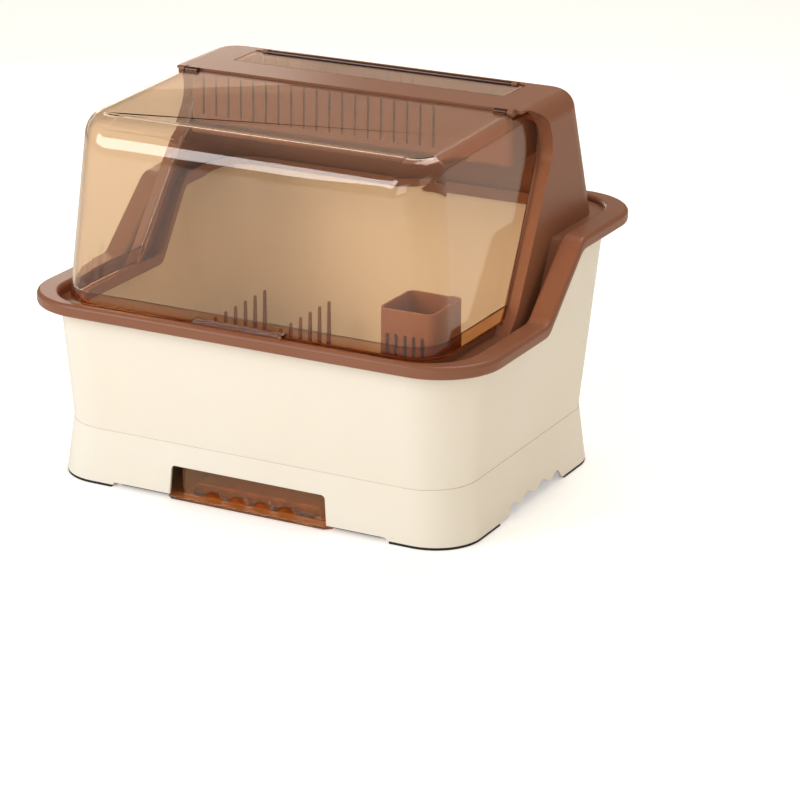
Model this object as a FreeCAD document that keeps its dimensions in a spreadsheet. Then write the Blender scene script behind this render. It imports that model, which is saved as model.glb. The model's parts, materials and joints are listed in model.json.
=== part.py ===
"""Dish storage cabinet: a cream bin on a skirted base, a brown hood frame and a clear hinged cover.

Millimetres. X runs across the front, Y from the front to the back and Z up.
The origin is under the middle of the whole cabinet, on the surface that it stands on.
"""
import FreeCAD, Part
import math
import os
import Sketcher

doc = FreeCAD.newDocument("DishStorageCabinet")
dims = doc.addObject("Spreadsheet::Sheet", "dims")

# Driving dimensions: alias, number, what it measures
SIZES = (
    ("rim_width", 460, "rim, outside, side to side"),
    ("rim_depth", 369, "rim, outside, front to back"),
    ("rim_corner", 61, "rim corner radius in plan"),
    ("rim_low", 163.4, "underside of the rim at the front"),
    ("rim_rise", 61.1, "how much higher the rim is at the back"),
    ("bead_tall", 11.8, "height of the bead round the rim"),
    ("bead_front", 11.3, "width of the bead along the front"),
    ("bead_rear", 14, "width of the bead along the back"),
    ("bead_round", 4, "rounding of the bead's top edges"),
    ("bead_under", 3, "rounding of the bead's outer bottom edge"),
    ("slope_back", 12.3, "from the seam's foot back to where the rim's rise starts"),
    ("slope_run", 69, "length of the rim's rise"),
    ("slope_round", 18, "radius at both ends of the rim's rise"),
    ("pocket_back", 28.7, "from the rim's rise back to where the gutter floor's rise starts"),
    ("pocket_run", 43.9, "length of the gutter floor's rise"),
    ("pocket_round", 12, "radius at both ends of the gutter floor's rise"),
    ("pocket_rise", 65.6, "how much higher the gutter floor is at the back"),
    ("floor_over", 2, "gutter floor over the rim's underside at the front"),
    ("floor_thick", 3, "thickness of the gutter floor"),
    ("web_thick", 2.1, "thickness of the wall between gutter and bin"),
    ("curb_thick", 3, "thickness of the curb round the mouth"),
    ("curb_tall", 7, "height of the curb over the gutter floor"),
    ("curb_in", 22.2, "gutter floor between the bead and the curb, sides"),
    ("curb_front", 11.2, "gutter floor between the bead and the curb, front"),
    ("curb_rear", 27.4, "gutter floor between the bead and the curb, back"),
    ("mouth_corner", 30, "corner radius of the mouth"),
    ("total_tall", 350, "height of the hood's top"),
    ("hood_in_side", 29.8, "from the rim's outside in to the hood's side at the front rim level"),
    ("hood_taper_side", 11.2, "how much further in the hood's side is at the top"),
    ("hood_in_rear", 14.3, "from the rim's outside in to the hood's back at the front rim level"),
    ("hood_taper_rear", 49, "how much further in the hood's back is at the top"),
    ("hood_corner_low", 36, "corner radius of the hood, low"),
    ("hood_corner_top", 30, "corner radius of the hood, top"),
    ("hood_wall", 3, "wall thickness of the hood"),
    ("hood_edge", 18, "rounding of the hood's top side edges"),
    ("hood_back_edge", 11, "rounding of the hood's top back edge"),
    ("core_edge", 6, "rounding of the hood's opening above its flange"),
    ("top_deep", 102, "depth of the hood's top from its front edge to its back"),
    ("lip_in", 13, "from the hood's side in to the end of its top's straight front edge"),
    ("seam_ahead", 60.3, "how far the seam's foot lies in front of the top's front edge"),
    ("seam_run", 124, "run of the seam's line from the floor level to the top"),
    ("foot_under", 5, "how far the seam's foot reaches below the floor"),
    ("foot_bend", 9, "height of the seam's bend over the gutter floor"),
    ("foot_flat", 1.753, "run for each millimetre of rise at the seam's foot"),
    ("foot_round", 85, "radius at the foot of the seam"),
    ("nose_round", 34, "radius at the nose of the seam"),
    ("seam_gap", 2, "gap between the cover and the hood"),
    ("flange_wide", 15.5, "inward width of the hood's front flange"),
    ("flange_thick", 2.5, "thickness of the hood's front flange"),
    ("part_gap", 0.4, "clearance between pieces that seat or pass"),
    ("past", 1, "how far a cutting tool reaches past what it cuts"),
    ("root", 1, "how far a joined piece reaches into what carries it"),
    ("cover_in_low", 10.7, "from the hood's side in to the cover's side, at the bottom"),
    ("cover_in_top", 15, "from the hood's side in to the cover's side, at the top"),
    ("cover_front_gap", 2.4, "gap between the bead and the cover's front"),
    ("cover_lean", 7, "how far the cover's front leans back"),
    ("cover_over", 5, "height of the cover's upper plan over the hood's top"),
    ("cover_lift", 8.6, "height of the cover's bottom over the gutter floor"),
    ("cover_drop", 2, "step down from the hood's top to the cover"),
    ("cover_fall", 6, "fall of the cover's top towards the front"),
    ("cover_wall", 2.5, "wall thickness of the cover"),
    ("cover_corner_low", 32, "upright corner radius of the cover, low"),
    ("cover_corner_top", 38, "upright corner radius of the cover, top"),
    ("cover_edge", 13, "rounding of the cover's top side edges"),
    ("cover_front_edge", 33, "rounding of the cover's top front edge"),
    ("cover_tail", 2.2, "how far the cover's top reaches behind its hinge"),
    ("hem_tall", 9, "height of the cover's thick hem"),
    ("hem_extra", 1, "extra thickness of the hem"),
    ("tab_half", 46, "half width of the cover's lift tab"),
    ("tab_reach", 10.2, "how far the lift tab reaches over the bead"),
    ("tab_over", 1.3, "gap between the bead and the lift tab"),
    ("tab_thick", 3, "thickness of the lift tab"),
    ("tab_round", 5, "corner radius of the lift tab"),
    ("axis_ahead", 3.8, "how far the cover's hinge line lies in front of the hood's top"),
    ("pin_across", 3, "diameter of the cover's hinge pins"),
    ("pin_fit", 0.02, "radial fit of a hinge pin in what holds it"),
    ("pin_play", 0.08, "radial play of a hinge pin in what turns on it"),
    ("pin_short", 1, "how far a cover pin stops short of its knuckle's end"),
    ("knuckle_in", 9.9, "from the cover's side in to the outer end of its knuckles"),
    ("knuckle_long", 13.1, "length of the cover's knuckles"),
    ("knuckle_round", 3.2, "radius of the cover's knuckles"),
    ("ear_gap", 0.7, "gap between a knuckle and its hinge ear"),
    ("ear_wide", 5.4, "width of the hood's hinge ears"),
    ("ear_round", 3.5, "radius of the hood's hinge ears"),
    ("notch_gap", 0.8, "gap between a hinge ear and the outer side of its notch"),
    ("notch_deep", 4.9, "how far a notch reaches in front of the hinge line"),
    ("window_in", 49, "from the hood's side in to the window"),
    ("window_back", 40, "from the top's front edge back to the window"),
    ("window_deep", 47.3, "window, front to back"),
    ("window_corner", 3, "corner radius of the window"),
    ("ledge_wide", 5, "width of the ledge under the lid's edge"),
    ("ledge_thick", 2.4, "thickness of the ledge"),
    ("lid_thick", 2.5, "thickness of the window lid"),
    ("lid_gap", 0.5, "gap round the window lid"),
    ("lid_barrel", 2.6, "radius of the lid's hinge ridge"),
    ("ridge_in", 14, "from the window's side in to the end of the lid's hinge ridge"),
    ("ridge_up", 2.3, "how far the ridge stands over the hood's top"),
    ("lid_pin_across", 2.4, "diameter of the lid's hinge pins"),
    ("lid_pin_in", 8, "how far a lid pin reaches into the ridge"),
    ("post_gap", 0.5, "gap between the ridge and the posts that hold the lid's pins"),
    ("post_wide", 5.5, "width of the posts that hold the lid's pins"),
    ("trough_in", 26, "from the hood's side in to the trough's side"),
    ("trough_back", 1.8, "from the top's front edge back to the trough's front"),
    ("trough_in_rear", 8.7, "from the hood's back in to the trough's back, at the top"),
    ("trough_deep", 54, "from the hood's top down to the trough's underside"),
    ("trough_wall", 2.5, "wall thickness of the trough"),
    ("trough_corner", 6, "corner radius of the trough"),
    ("trough_ear", 9, "width of the trough's end ears"),
    ("trough_ear_corner", 2, "corner radius of the trough's end ears"),
    ("ear_thick", 2.4, "thickness of the trough's end ears"),
    ("hook_thick", 2.5, "thickness of the hooks that hold the trough"),
    ("hook_back", 51, "from the trough's front back to the hooks"),
    ("hook_long", 34, "length of the hooks"),
    ("divider_in", 63, "from the trough's right side in to the left face of its divider"),
    ("divider_drop", 8, "how far the divider stops below the trough's edge"),
    ("slot_pitch", 13.2, "pitch of the trough's drain slots"),
    ("slot_wide", 2, "width of the trough's drain slots"),
    ("slot_under", 5, "wall left above the trough's drain slots"),
    ("slot_over", 7.5, "wall left under the trough's drain slots"),
    ("front_slots", 19, "number of drain slots in the trough's front"),
    ("rear_slots", 14, "number of drain slots in the trough's back"),
    ("bin_in_side", 18, "from the rim's outside in to the bin's side, at the rim's front level"),
    ("bin_in_front", 13.2, "from the rim's outside in to the bin's front, at that level"),
    ("bin_in_rear", 33.5, "from the rim's outside in to the bin's back, at that level"),
    ("bin_corner_mid", 58, "corner radius of the bin at the rim's front level"),
    ("bin_flare_side", 5.5, "how much further out the bin's side is at its highest edge"),
    ("bin_flare_front", 6.5, "how much further out the bin's front is at its highest edge"),
    ("bin_flare_rear", 8.2, "how much further out the bin's back is at its highest edge"),
    ("bin_corner_top", 64, "corner radius of the bin at its highest edge"),
    ("bin_wall", 2.3, "wall thickness of the bin"),
    ("bin_floor", 2.5, "thickness of the bin's floor"),
    ("bin_corner_low", 47, "corner radius of the bin at its foot"),
    ("bin_step", 0.4, "step in from the base to the bin"),
    ("spigot_deep", 7.5, "how deep the bin sits in the base"),
    ("drain_half", 55, "half width of the drain opening in the bin's floor"),
    ("drain_in_front", 40.2, "from the base's front in to the drain opening"),
    ("drain_in_rear", 56.6, "from the base's back in to the drain opening"),
    ("drain_corner", 12, "corner radius of the drain opening"),
    ("base_top", 53.5, "top edge of the base"),
    ("base_flare_side", 6.1, "how much further out the base's side is at its bottom"),
    ("base_flare_ends", 1.4, "how much further out the base's front and back are at their bottom"),
    ("base_corner_low", 45, "corner radius of the base at its bottom"),
    ("bin_taper_side", 9.6, "how much further in the base's top is than the bin's side"),
    ("bin_taper_front", 11.1, "how much further in the base's top is than the bin's front"),
    ("bin_taper_rear", 14.4, "how much further in the base's top is than the bin's back"),
    ("base_corner_top", 47, "corner radius of the base at its top"),
    ("base_wall", 2.5, "wall thickness of the base"),
    ("base_ledge", 18, "width of the ledge that carries the bin"),
    ("pad_tall", 2.5, "height of the foot pads"),
    ("pad_wide", 5, "width of the foot pads"),
    ("pad_front_long", 84.8, "length of the front foot pads along the side"),
    ("pad_rear_long", 80.8, "length of the rear foot pads along the side"),
    ("arch_in", 68.5, "from the base's side in to the raised stretch of its bottom edge"),
    ("arch_top", 5, "height of the raised stretch"),
    ("mouth_half_top", 78, "half width of the tray's opening at its top"),
    ("mouth_skew", 2, "how much wider the tray's opening is at its bottom"),
    ("mouth_down", 21, "from the base's top edge down to the tray's opening"),
    ("mouth_round", 4, "corner radius of the tray's opening"),
    ("mouth_cut", 10, "how far behind the base's front the tray's opening is cut"),
    ("grip_back", 25, "from the front foot pads back to the middle of the first scallop"),
    ("grip_pitch", 32, "pitch of the scallops"),
    ("grip_count", 4, "number of scallops"),
    ("grip_end", 10.7, "from the last scallop's middle to the end of the grip, at the bottom"),
    ("grip_peak", 14, "peak of the scallops' zigzag"),
    ("grip_valley", 6.2, "valley of the scallops' zigzag"),
    ("grip_round", 8, "radius of the scallops"),
    ("tray_low", 2, "underside of the tray"),
    ("tray_thick", 2, "thickness of the tray"),
    ("plate_in", 2, "from the raised stretch's end in to the side of the tray's flange plate"),
    ("plate_corner", 8, "corner radius of the flange plate"),
    ("plate_ahead", 6, "flange plate in front of the pan"),
    ("plate_behind", 8, "flange plate behind the pan"),
    ("pan_gap", 2.2, "gap between the pan and the opening's sides"),
    ("pan_back", 10.8, "how far the pan's front is set back from the base's front"),
    ("pan_in_rear", 38.6, "from the base's back in to the pan"),
    ("pan_down", 1.5, "from the top of the tray's opening down to the pan's edge"),
    ("pan_corner", 6, "corner radius of the pan"),
    ("tray_lip_beside", 6, "how far the tray's pull lip reaches beside its opening"),
    ("tray_lip_corner", 3, "corner radius of the pull lip"),
    ("lip_reach", 6, "run of the pull lip's slanted ends"),
    ("lip_proud", 0.8, "how far the pull lip stands out of the base's front"),
    ("lip_down", 1, "how much the pull lip is thickened downwards"),
    ("finger_first", -41, "middle of the first finger gap"),
    ("finger_pitch", 25, "pitch of the finger gaps"),
    ("finger_count", 4, "number of finger gaps"),
    ("finger_half", 9.5, "half width of a finger gap"),
    ("finger_top", 9.5, "top of the finger gaps"),
    ("finger_deep", 11, "depth of the finger gaps"),
    ("roof_half", 62, "half width of the roof over the finger gaps"),
    ("rail_lip", 5, "overlap of the rails and the tray's flange plate"),
    ("rail_thick", 0.9, "thickness of the rails' lower lips"),
    ("rail_upper", 1.8, "thickness of the rails' upper lips"),
    ("rail_tall", 12, "top of the rails"),
    ("board_in", 8, "from the bin's foot in to the drain board's edge"),
    ("board_corner", 38, "corner radius of the drain board"),
    ("board_lift", 11.5, "from the bin's floor up to the drain board"),
    ("board_thick", 2.5, "thickness of the drain board"),
    ("board_edge", 16, "plain edge round the drain board's slots"),
    ("leg_wide", 8, "width of the drain board's legs"),
    ("leg_in", 14, "legs in from the drain board's front and back"),
    ("drain_pitch", 15, "pitch of the drain board's slots"),
    ("drain_wide", 5, "width of the drain board's slots"),
    ("drain_count", 23, "number of slots in each row of the drain board"),
    ("rack_in", 16, "from the drain board's side in to the racks"),
    ("rack_near", 22, "inner side of the racks"),
    ("rack_in_front", 11.8, "from the drain board's front in to the front plate rack"),
    ("rack_ahead", 132.2, "from the drain board's back forwards to the rear racks' front"),
    ("rack_bar", 5, "width and height of the racks' bars"),
    ("rack_corner", 4, "outer corner radius of the racks' frames"),
    ("rack_corner_in", 2, "inner corner radius of the racks' frames"),
    ("peg_thick", 3.6, "thickness of the racks' pegs"),
    ("peg_step", 18.6, "pitch of the plate racks' pegs"),
    ("peg_count", 7, "number of pegs in a row of a plate rack"),
    ("peg_tall", 45, "height of the plate racks' pegs"),
    ("bowl_step", 37, "pitch of the bowl rack's pegs"),
    ("bowl_count", 4, "number of pegs in a row of the bowl rack"),
    ("bowl_tall", 28, "height of the bowl rack's pegs"),
    ("holder_in", 20, "from the drain board's side in to the cutlery holder"),
    ("holder_wide", 52, "width of the cutlery holder"),
    ("holder_in_front", 5.8, "from the drain board's front in to the cutlery holder"),
    ("holder_deep", 58, "depth of the cutlery holder"),
    ("holder_tall", 146, "height of the cutlery holder"),
    ("holder_wall", 2.2, "wall thickness of the cutlery holder"),
    ("holder_corner", 8, "corner radius of the cutlery holder"),
    ("holder_base", 22, "plain bands at the cutlery holder's bottom and top"),
    ("holder_slot", 3, "width of the cutlery holder's slots"),
    ("holder_pitch", 8.2, "pitch of the cutlery holder's slots"),
    ("holder_slots", 5, "number of slots in the cutlery holder"),
    ("bumper_at", 126, "inner end of the cover's bumpers"),
    ("bumper_long", 20, "length of the cover's bumpers"),
    ("bumper_wide", 3, "width of the cover's bumpers"),
)


class Size:
    """A length that keeps its number and the sheet formula that gives it."""

    def __init__(self, value, text):
        self.value = value
        self.text = text

    def __add__(self, other):
        other = size(other)
        return Size(self.value + other.value, f"({self.text} + {other.text})")

    def __sub__(self, other):
        other = size(other)
        return Size(self.value - other.value, f"({self.text} - {other.text})")

    def __mul__(self, other):
        other = size(other)
        return Size(self.value * other.value, f"({self.text} * {other.text})")

    def __truediv__(self, other):
        other = size(other)
        return Size(self.value / other.value, f"({self.text} / {other.text})")

    def __neg__(self):
        return Size(-self.value, f"(0 - {self.text})")

    def __radd__(self, other):
        return size(other) + self

    def __rsub__(self, other):
        return size(other) - self

    def __rmul__(self, other):
        return size(other) * self


def size(number):
    """The number as a Size, which leaves a Size as it is."""
    return number if isinstance(number, Size) else Size(float(number), f"{float(number):g}")


class Sheet:
    """Every row of the sheet as a Size, under its alias; what is set later is a row with a formula."""

    def __init__(self, rows):
        for alias, number, note in rows:
            setattr(self, alias, number)
            dims.set(f"A{len(vars(self))}", note)

    def __setattr__(self, alias, length):
        cell = f"B{len(vars(self)) + 1}"
        length = size(length)
        dims.set(cell, f"={length.text}")
        dims.setAlias(cell, alias)
        vars(self)[alias] = Size(length.value, f"dims.{alias}")


D = Sheet(SIZES)

PLANES = {
    "XY": FreeCAD.Rotation(),
    "XZ": FreeCAD.Rotation(FreeCAD.Vector(1, 0, 0), 90),
    "YZ": FreeCAD.Rotation(FreeCAD.Vector(1, 1, 1), 120),
}
AXES = {"XY": "z", "XZ": "y", "YZ": "x"}


def bind(thing, path, length):
    """Ties a property to the sheet."""
    thing.setExpression(path, size(length).text)


def place_sketch(sketch, plane, place, owner):
    """Puts a sketch on one of the main planes, moved along the plane's axis."""
    if owner is None:
        sketch.Placement = FreeCAD.Placement(FreeCAD.Vector(), PLANES[plane])
        bind(sketch, f"Placement.Base.{AXES[plane]}", place)
        return
    origin_plane = [o for o in owner.Origin.OriginFeatures if o.Role == f"{plane}_Plane"][0]
    sketch.AttachmentSupport = (origin_plane, [""])
    sketch.MapMode = "FlatFace"
    bind(sketch, "AttachmentOffset.Base.z", -size(place) if plane == "XZ" else place)


def fix(sketch, kind, element, point, length):
    """Holds a point of the sketch at a distance from the origin along one axis."""
    index = sketch.addConstraint(Sketcher.Constraint(kind, -1, 1, element, point, length.value))
    bind(sketch, f"Constraints[{index}]", length)


def outline(name, plane, place, corners, owner=None):
    """A closed sketch through corners (across, up) or, where one is rounded, (across, up, radius)."""
    maker = owner.newObject if owner else doc.addObject
    sketch = maker("Sketcher::SketchObject", name)
    place_sketch(sketch, plane, place, owner)
    across = [size(c[0]) for c in corners]
    up = [size(c[1]) for c in corners]
    radii = [size(c[2]) if len(c) > 2 else None for c in corners]
    spots = [FreeCAD.Vector(a.value, u.value, 0) for a, u in zip(across, up)]
    count = len(corners)
    starts, ends, arcs = [], [], []
    for i, spot in enumerate(spots):
        before = (spots[i - 1] - spot).normalize()
        after = (spots[(i + 1) % count] - spot).normalize()
        if radii[i] is None:
            starts.append(spot)
            ends.append(spot)
            arcs.append(None)
            continue
        half = before.getAngle(after) / 2
        run = radii[i].value / math.tan(half)
        middle = spot + (before + after).normalize() * (radii[i].value / math.sin(half))
        starts.append(spot + before * run)
        ends.append(spot + after * run)
        nearest = middle + (spot - middle).normalize() * radii[i].value
        left_turn = before.cross(after).z < 0
        first, last = (starts[i], ends[i]) if left_turn else (ends[i], starts[i])
        arcs.append(Part.Arc(first, nearest, last))
    lines = [sketch.addGeometry(Part.LineSegment(ends[i], starts[(i + 1) % count])) for i in range(count)]
    for i in range(count):
        last = lines[i - 1]
        if arcs[i] is None:
            sketch.addConstraint(Sketcher.Constraint("Coincident", last, 2, lines[i], 1))
            fix(sketch, "DistanceX", lines[i], 1, across[i])
            fix(sketch, "DistanceY", lines[i], 1, up[i])
            continue
        arc = sketch.addGeometry(arcs[i])
        from_end = 1 if sketch.Geometry[arc].StartPoint.distanceToPoint(starts[i]) < NEAR else 2
        sketch.addConstraint(Sketcher.Constraint("Tangent", last, 2, arc, from_end))
        sketch.addConstraint(Sketcher.Constraint("Tangent", arc, 3 - from_end, lines[i], 1))
        index = sketch.addConstraint(Sketcher.Constraint("Radius", arc, radii[i].value))
        bind(sketch, f"Constraints[{index}]", radii[i])
        corner = sketch.addGeometry(Part.Point(spots[i]), True)
        sketch.addConstraint(Sketcher.Constraint("PointOnObject", corner, 1, last))
        sketch.addConstraint(Sketcher.Constraint("PointOnObject", corner, 1, lines[i]))
        fix(sketch, "DistanceX", corner, 1, across[i])
        fix(sketch, "DistanceY", corner, 1, up[i])
    return sketch


def rectangle(half, front, rear, radius=None):
    """The corners of a rectangle in plan, the same on both sides of the middle."""
    corners = [(-half, front), (half, front), (half, rear), (-half, rear)]
    return corners if radius is None else [corner + (radius,) for corner in corners]


def prism(name, base, low, high=None):
    """A sketch drawn out: up from its own plane, or evenly to both sides where one length is given."""
    solid = doc.addObject("Part::Extrusion", name)
    solid.Base = base
    solid.DirMode = "Normal"
    solid.Solid = True
    solid.Symmetric = high is None
    bind(solid, "LengthFwd", low if high is None else size(high) - low)
    return solid


def column(name, corners, low, high):
    """A plan outline drawn up between two heights."""
    return prism(name, outline(name + "_plan", "XY", low, corners), low, high)


def loft(name, sections):
    """A straight-sided solid through plan outlines, each (height, corners)."""
    solid = doc.addObject("Part::Loft", name)
    solid.Sections = [outline(f"{name}_{i}", "XY", height, corners)
                      for i, (height, corners) in enumerate(sections)]
    solid.Solid = True
    solid.Ruled = True
    return solid


def cut(name, base, tool):
    solid = doc.addObject("Part::Cut", name)
    solid.Base = base
    solid.Tool = tool
    return solid


def common(name, base, tool):
    solid = doc.addObject("Part::Common", name)
    solid.Base = base
    solid.Tool = tool
    return solid


def fuse(name, *pieces):
    solid = doc.addObject("Part::MultiFuse", name)
    solid.Shapes = list(pieces)
    solid.Refine = True
    return solid


def grown(name, sketch, length):
    """A sketch's outline moved outwards, or inwards where the length is below zero."""
    ring = doc.addObject("Part::Offset2D", name)
    ring.Source = sketch
    ring.Join = "Arc"
    bind(ring, "Value", length)
    return ring


def rounded(name, base, radii):
    """Rounds the edges that radii() names, with its two radii for each."""
    doc.recompute()
    solid = doc.addObject("Part::Fillet", name)
    solid.Base = base
    edges = []
    for number, edge in enumerate(base.Shape.Edges, start=1):
        pair = radii(edge)
        if pair:
            edges.append((number, pair[0], pair[1]))
    solid.Edges = edges
    return solid


# Levels and lines that several pieces share
BIG = 600  # how far a cutting tool reaches past the whole cabinet
NEAR = 0.01  # two places closer than this are the same
HIGH_UP = 0.75  # share of the bead's height over which its edges get their larger rounding
STEEP = 0.999  # rise over length over which an edge counts as upright
NEARLY = 0.9  # share of a half width that rounds it almost fully
D.rim_half = D.rim_width / 2
D.rim_front = -(D.rim_depth / 2)
D.rim_rear = D.rim_depth / 2
D.rim_high = D.rim_low + D.rim_rise
D.hood_half_low = D.rim_half - D.hood_in_side
D.hood_half_top = D.hood_half_low - D.hood_taper_side
D.hood_rear_low = D.rim_rear - D.hood_in_rear
D.hood_rear_top = D.hood_rear_low - D.hood_taper_rear
D.lip_front = D.hood_rear_top - D.top_deep
D.lip_half = D.hood_half_top - D.lip_in
D.seam_foot = D.lip_front - D.seam_ahead
D.slope_from = D.seam_foot + D.slope_back
D.slope_to = D.slope_from + D.slope_run
D.pocket_from = D.slope_from + D.pocket_back
D.pocket_to = D.pocket_from + D.pocket_run
D.gutter_low = D.rim_low + D.floor_over
D.bin_half_mid = D.rim_half - D.bin_in_side
D.bin_front_mid = D.rim_rear - D.bin_in_front
D.bin_rear_mid = D.rim_rear - D.bin_in_rear
D.bin_half_top = D.bin_half_mid + D.bin_flare_side
D.bin_front_top = D.bin_front_mid + D.bin_flare_front
D.bin_rear_top = D.bin_rear_mid + D.bin_flare_rear
D.base_half_top = D.bin_half_mid - D.bin_taper_side
D.base_front_top = D.bin_front_mid - D.bin_taper_front
D.base_rear_top = D.bin_rear_mid - D.bin_taper_rear
D.base_half_low = D.base_half_top + D.base_flare_side
D.base_front_low = D.base_front_top + D.base_flare_ends
D.base_rear_low = D.base_rear_top + D.base_flare_ends
D.bin_inset = D.bin_wall + D.part_gap
D.web_half = D.bin_half_mid - D.bin_inset
D.web_front = -D.bin_front_mid + D.bin_inset
D.web_rear = D.bin_rear_mid - D.bin_inset
D.web_corner = D.bin_corner_mid - D.bin_inset
D.gutter_half = D.web_half - D.web_thick
D.gutter_front = D.rim_front + D.bead_front
D.gutter_rear = D.rim_rear - D.bead_rear
D.gutter_corner = D.rim_corner - D.bead_rear
D.mouth_half = D.gutter_half - D.curb_in - D.curb_thick
D.mouth_front = D.gutter_front + D.curb_front + D.curb_thick
D.mouth_rear = D.gutter_rear - D.curb_rear - D.curb_thick
D.plate_under = D.total_tall - D.hood_wall
D.window_half = D.hood_half_top - D.window_in
D.window_front = D.lip_front + D.window_back
D.window_rear = D.window_front + D.window_deep
D.window_seat = D.total_tall - D.lid_thick
D.hook_top = D.plate_under - D.part_gap * 2 - D.ear_thick
D.cover_half_low = D.hood_half_low - D.cover_in_low
D.cover_half_top = D.hood_half_top - D.cover_in_top
D.cover_front = D.gutter_front + D.cover_front_gap
D.cover_axis_y = D.lip_front - D.axis_ahead
D.cover_axis_z = D.total_tall - D.cover_drop
D.knuckle_far = D.cover_half_top - D.knuckle_in
D.knuckle_near = D.knuckle_far - D.knuckle_long
D.ear_near = D.knuckle_far + D.ear_gap
D.ear_far = D.ear_near + D.ear_wide
D.notch_far = D.ear_far + D.notch_gap
D.pin_radius = D.pin_across / 2
D.lid_pin_radius = D.lid_pin_across / 2
D.lid_axis = D.window_rear - D.lid_gap - D.lid_barrel
D.lid_axis_z = D.total_tall + D.ridge_up - D.lid_barrel
D.ridge_half = D.window_half - D.ridge_in
D.post_near = D.ridge_half + D.post_gap
D.post_far = D.post_near + D.post_wide
D.trough_half = D.hood_half_top - D.trough_in
D.trough_front = D.lip_front + D.trough_back
D.trough_rear = D.hood_rear_top - D.trough_in_rear
D.trough_low = D.total_tall - D.trough_deep
D.hook_front = D.trough_front + D.hook_back
D.divider_at = D.trough_half - D.divider_in
D.bin_low = D.base_top
D.bin_bottom = D.base_top - D.spigot_deep
D.bin_floor_top = D.bin_bottom + D.bin_floor
D.bin_half_low = D.base_half_top - D.bin_step
D.bin_front_low = D.base_front_top - D.bin_step
D.bin_rear_low = D.base_rear_top - D.bin_step
D.board_half = D.bin_half_low - D.board_in
D.board_front = D.board_in - D.bin_front_low
D.board_rear = D.bin_rear_low - D.board_in
D.board_low = D.bin_floor_top + D.board_lift
D.board_top = D.board_low + D.board_thick
D.rack_far = D.board_half - D.rack_in
D.rack_front = D.board_front + D.rack_in_front
D.rack_rear = D.board_rear - D.rack_ahead
D.mouth_top = D.base_top - D.mouth_down
D.arch_half = D.base_half_low - D.arch_in
D.tray_half = D.arch_half - D.plate_in
D.tray_lip_half = D.mouth_half_top + D.tray_lip_beside
D.pan_rear = D.base_rear_top - D.pan_in_rear
D.pan_top = D.mouth_top - D.pan_down
D.rail_far = D.tray_half + D.part_gap * 2 + D.base_wall
D.pad_front_end = D.base_front_low - D.pad_front_long
D.pad_rear_end = D.base_rear_low - D.pad_rear_long
D.grip_first = D.grip_back - D.pad_front_end
D.holder_right = D.board_half - D.holder_in
D.holder_front = D.board_front + D.holder_in_front
COVER_AXIS = (D.cover_axis_y, D.cover_axis_z)
LID_AXIS = (D.lid_axis, D.lid_axis_z)
doc.recompute()


def rim_line(lift, low_edge, high_edge):
    """The rim's stepped line in side view, raised by a length."""
    low, high = D.rim_low + lift, D.rim_high + lift
    return [(low_edge, low), (D.slope_from, low, D.slope_round), (D.slope_to, high, D.slope_round),
            (high_edge, high)]


def gutter_line(lift, low_edge, high_edge):
    """The gutter floor's stepped line in side view, raised by a length."""
    low, high = D.gutter_low + lift, D.gutter_low + D.pocket_rise + lift
    return [(low_edge, low), (D.pocket_from, low, D.pocket_round), (D.pocket_to, high, D.pocket_round),
            (high_edge, high)]


def above(line, name):
    """Everything above a side view line."""
    top = [(BIG, BIG), (-BIG, BIG)]
    return prism(name, outline(name + "_side", "YZ", 0, line + top), 2 * BIG)


def below(line, name):
    """Everything below a side view line."""
    return prism(name, outline(name + "_side", "YZ", 0, line + [(BIG, -BIG), (-BIG, -BIG)]), 2 * BIG)


def hood_form(name, inset, side_edge, back_edge):
    """The hood's outer form, or an inner one set in by a wall, rounded along its top edges."""
    top = D.total_tall - inset
    body = loft(name + "_loft", [
        (D.rim_low, rectangle(D.hood_half_low - inset, -D.hood_rear_low, D.hood_rear_low - inset,
                              D.hood_corner_low - inset)),
        (D.total_tall, rectangle(D.hood_half_top - inset, -D.hood_rear_top, D.hood_rear_top - inset,
                                 D.hood_corner_top - inset))])
    lid = column(name + "_lid", rectangle(BIG, -BIG, BIG), top, D.total_tall + BIG)
    block = cut(name + "_block", body, lid)

    def radii(edge):
        box = edge.BoundBox
        if box.ZMin < top.value - NEAR or box.YMax < 0:
            return None
        if box.YLength < NEAR:
            return back_edge.value, back_edge.value
        if box.XLength < NEAR:
            return side_edge.value, side_edge.value
        first = edge.Vertexes[0].Point
        sides = (side_edge.value, back_edge.value)
        return sides if first.y < edge.Vertexes[-1].Point.y else sides[::-1]

    return rounded(name, block, radii)


def seam(name, gap):
    """Everything behind the seam between cover and hood, moved forwards by a gap, or back below zero."""
    rise = D.total_tall - D.gutter_low
    foot = seam_at(-D.foot_under)
    bend = seam_at(D.foot_bend)
    run_in = D.foot_bend + D.foot_under
    start = (bend[0] - run_in * D.foot_flat, foot[1])
    nose = (bend[0] + (rise - D.foot_bend) * D.seam_run / rise, D.total_tall)
    line = outline(name + "_line", "YZ", 0, [
        start, bend + (D.foot_round,), nose + (D.nose_round,), (D.lip_front, D.total_tall),
        (D.lip_front, BIG), (BIG, BIG), (BIG, -BIG), (start[0], -BIG)])
    edge = grown(name + "_ring", line, gap) if gap.value else line
    return prism(name, edge, 2 * BIG)


def seam_at(height):
    """The point of the seam's straight line at a height over the gutter floor."""
    rise = D.total_tall - D.gutter_low
    return D.seam_foot + height * D.seam_run / rise, D.gutter_low + height


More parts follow.
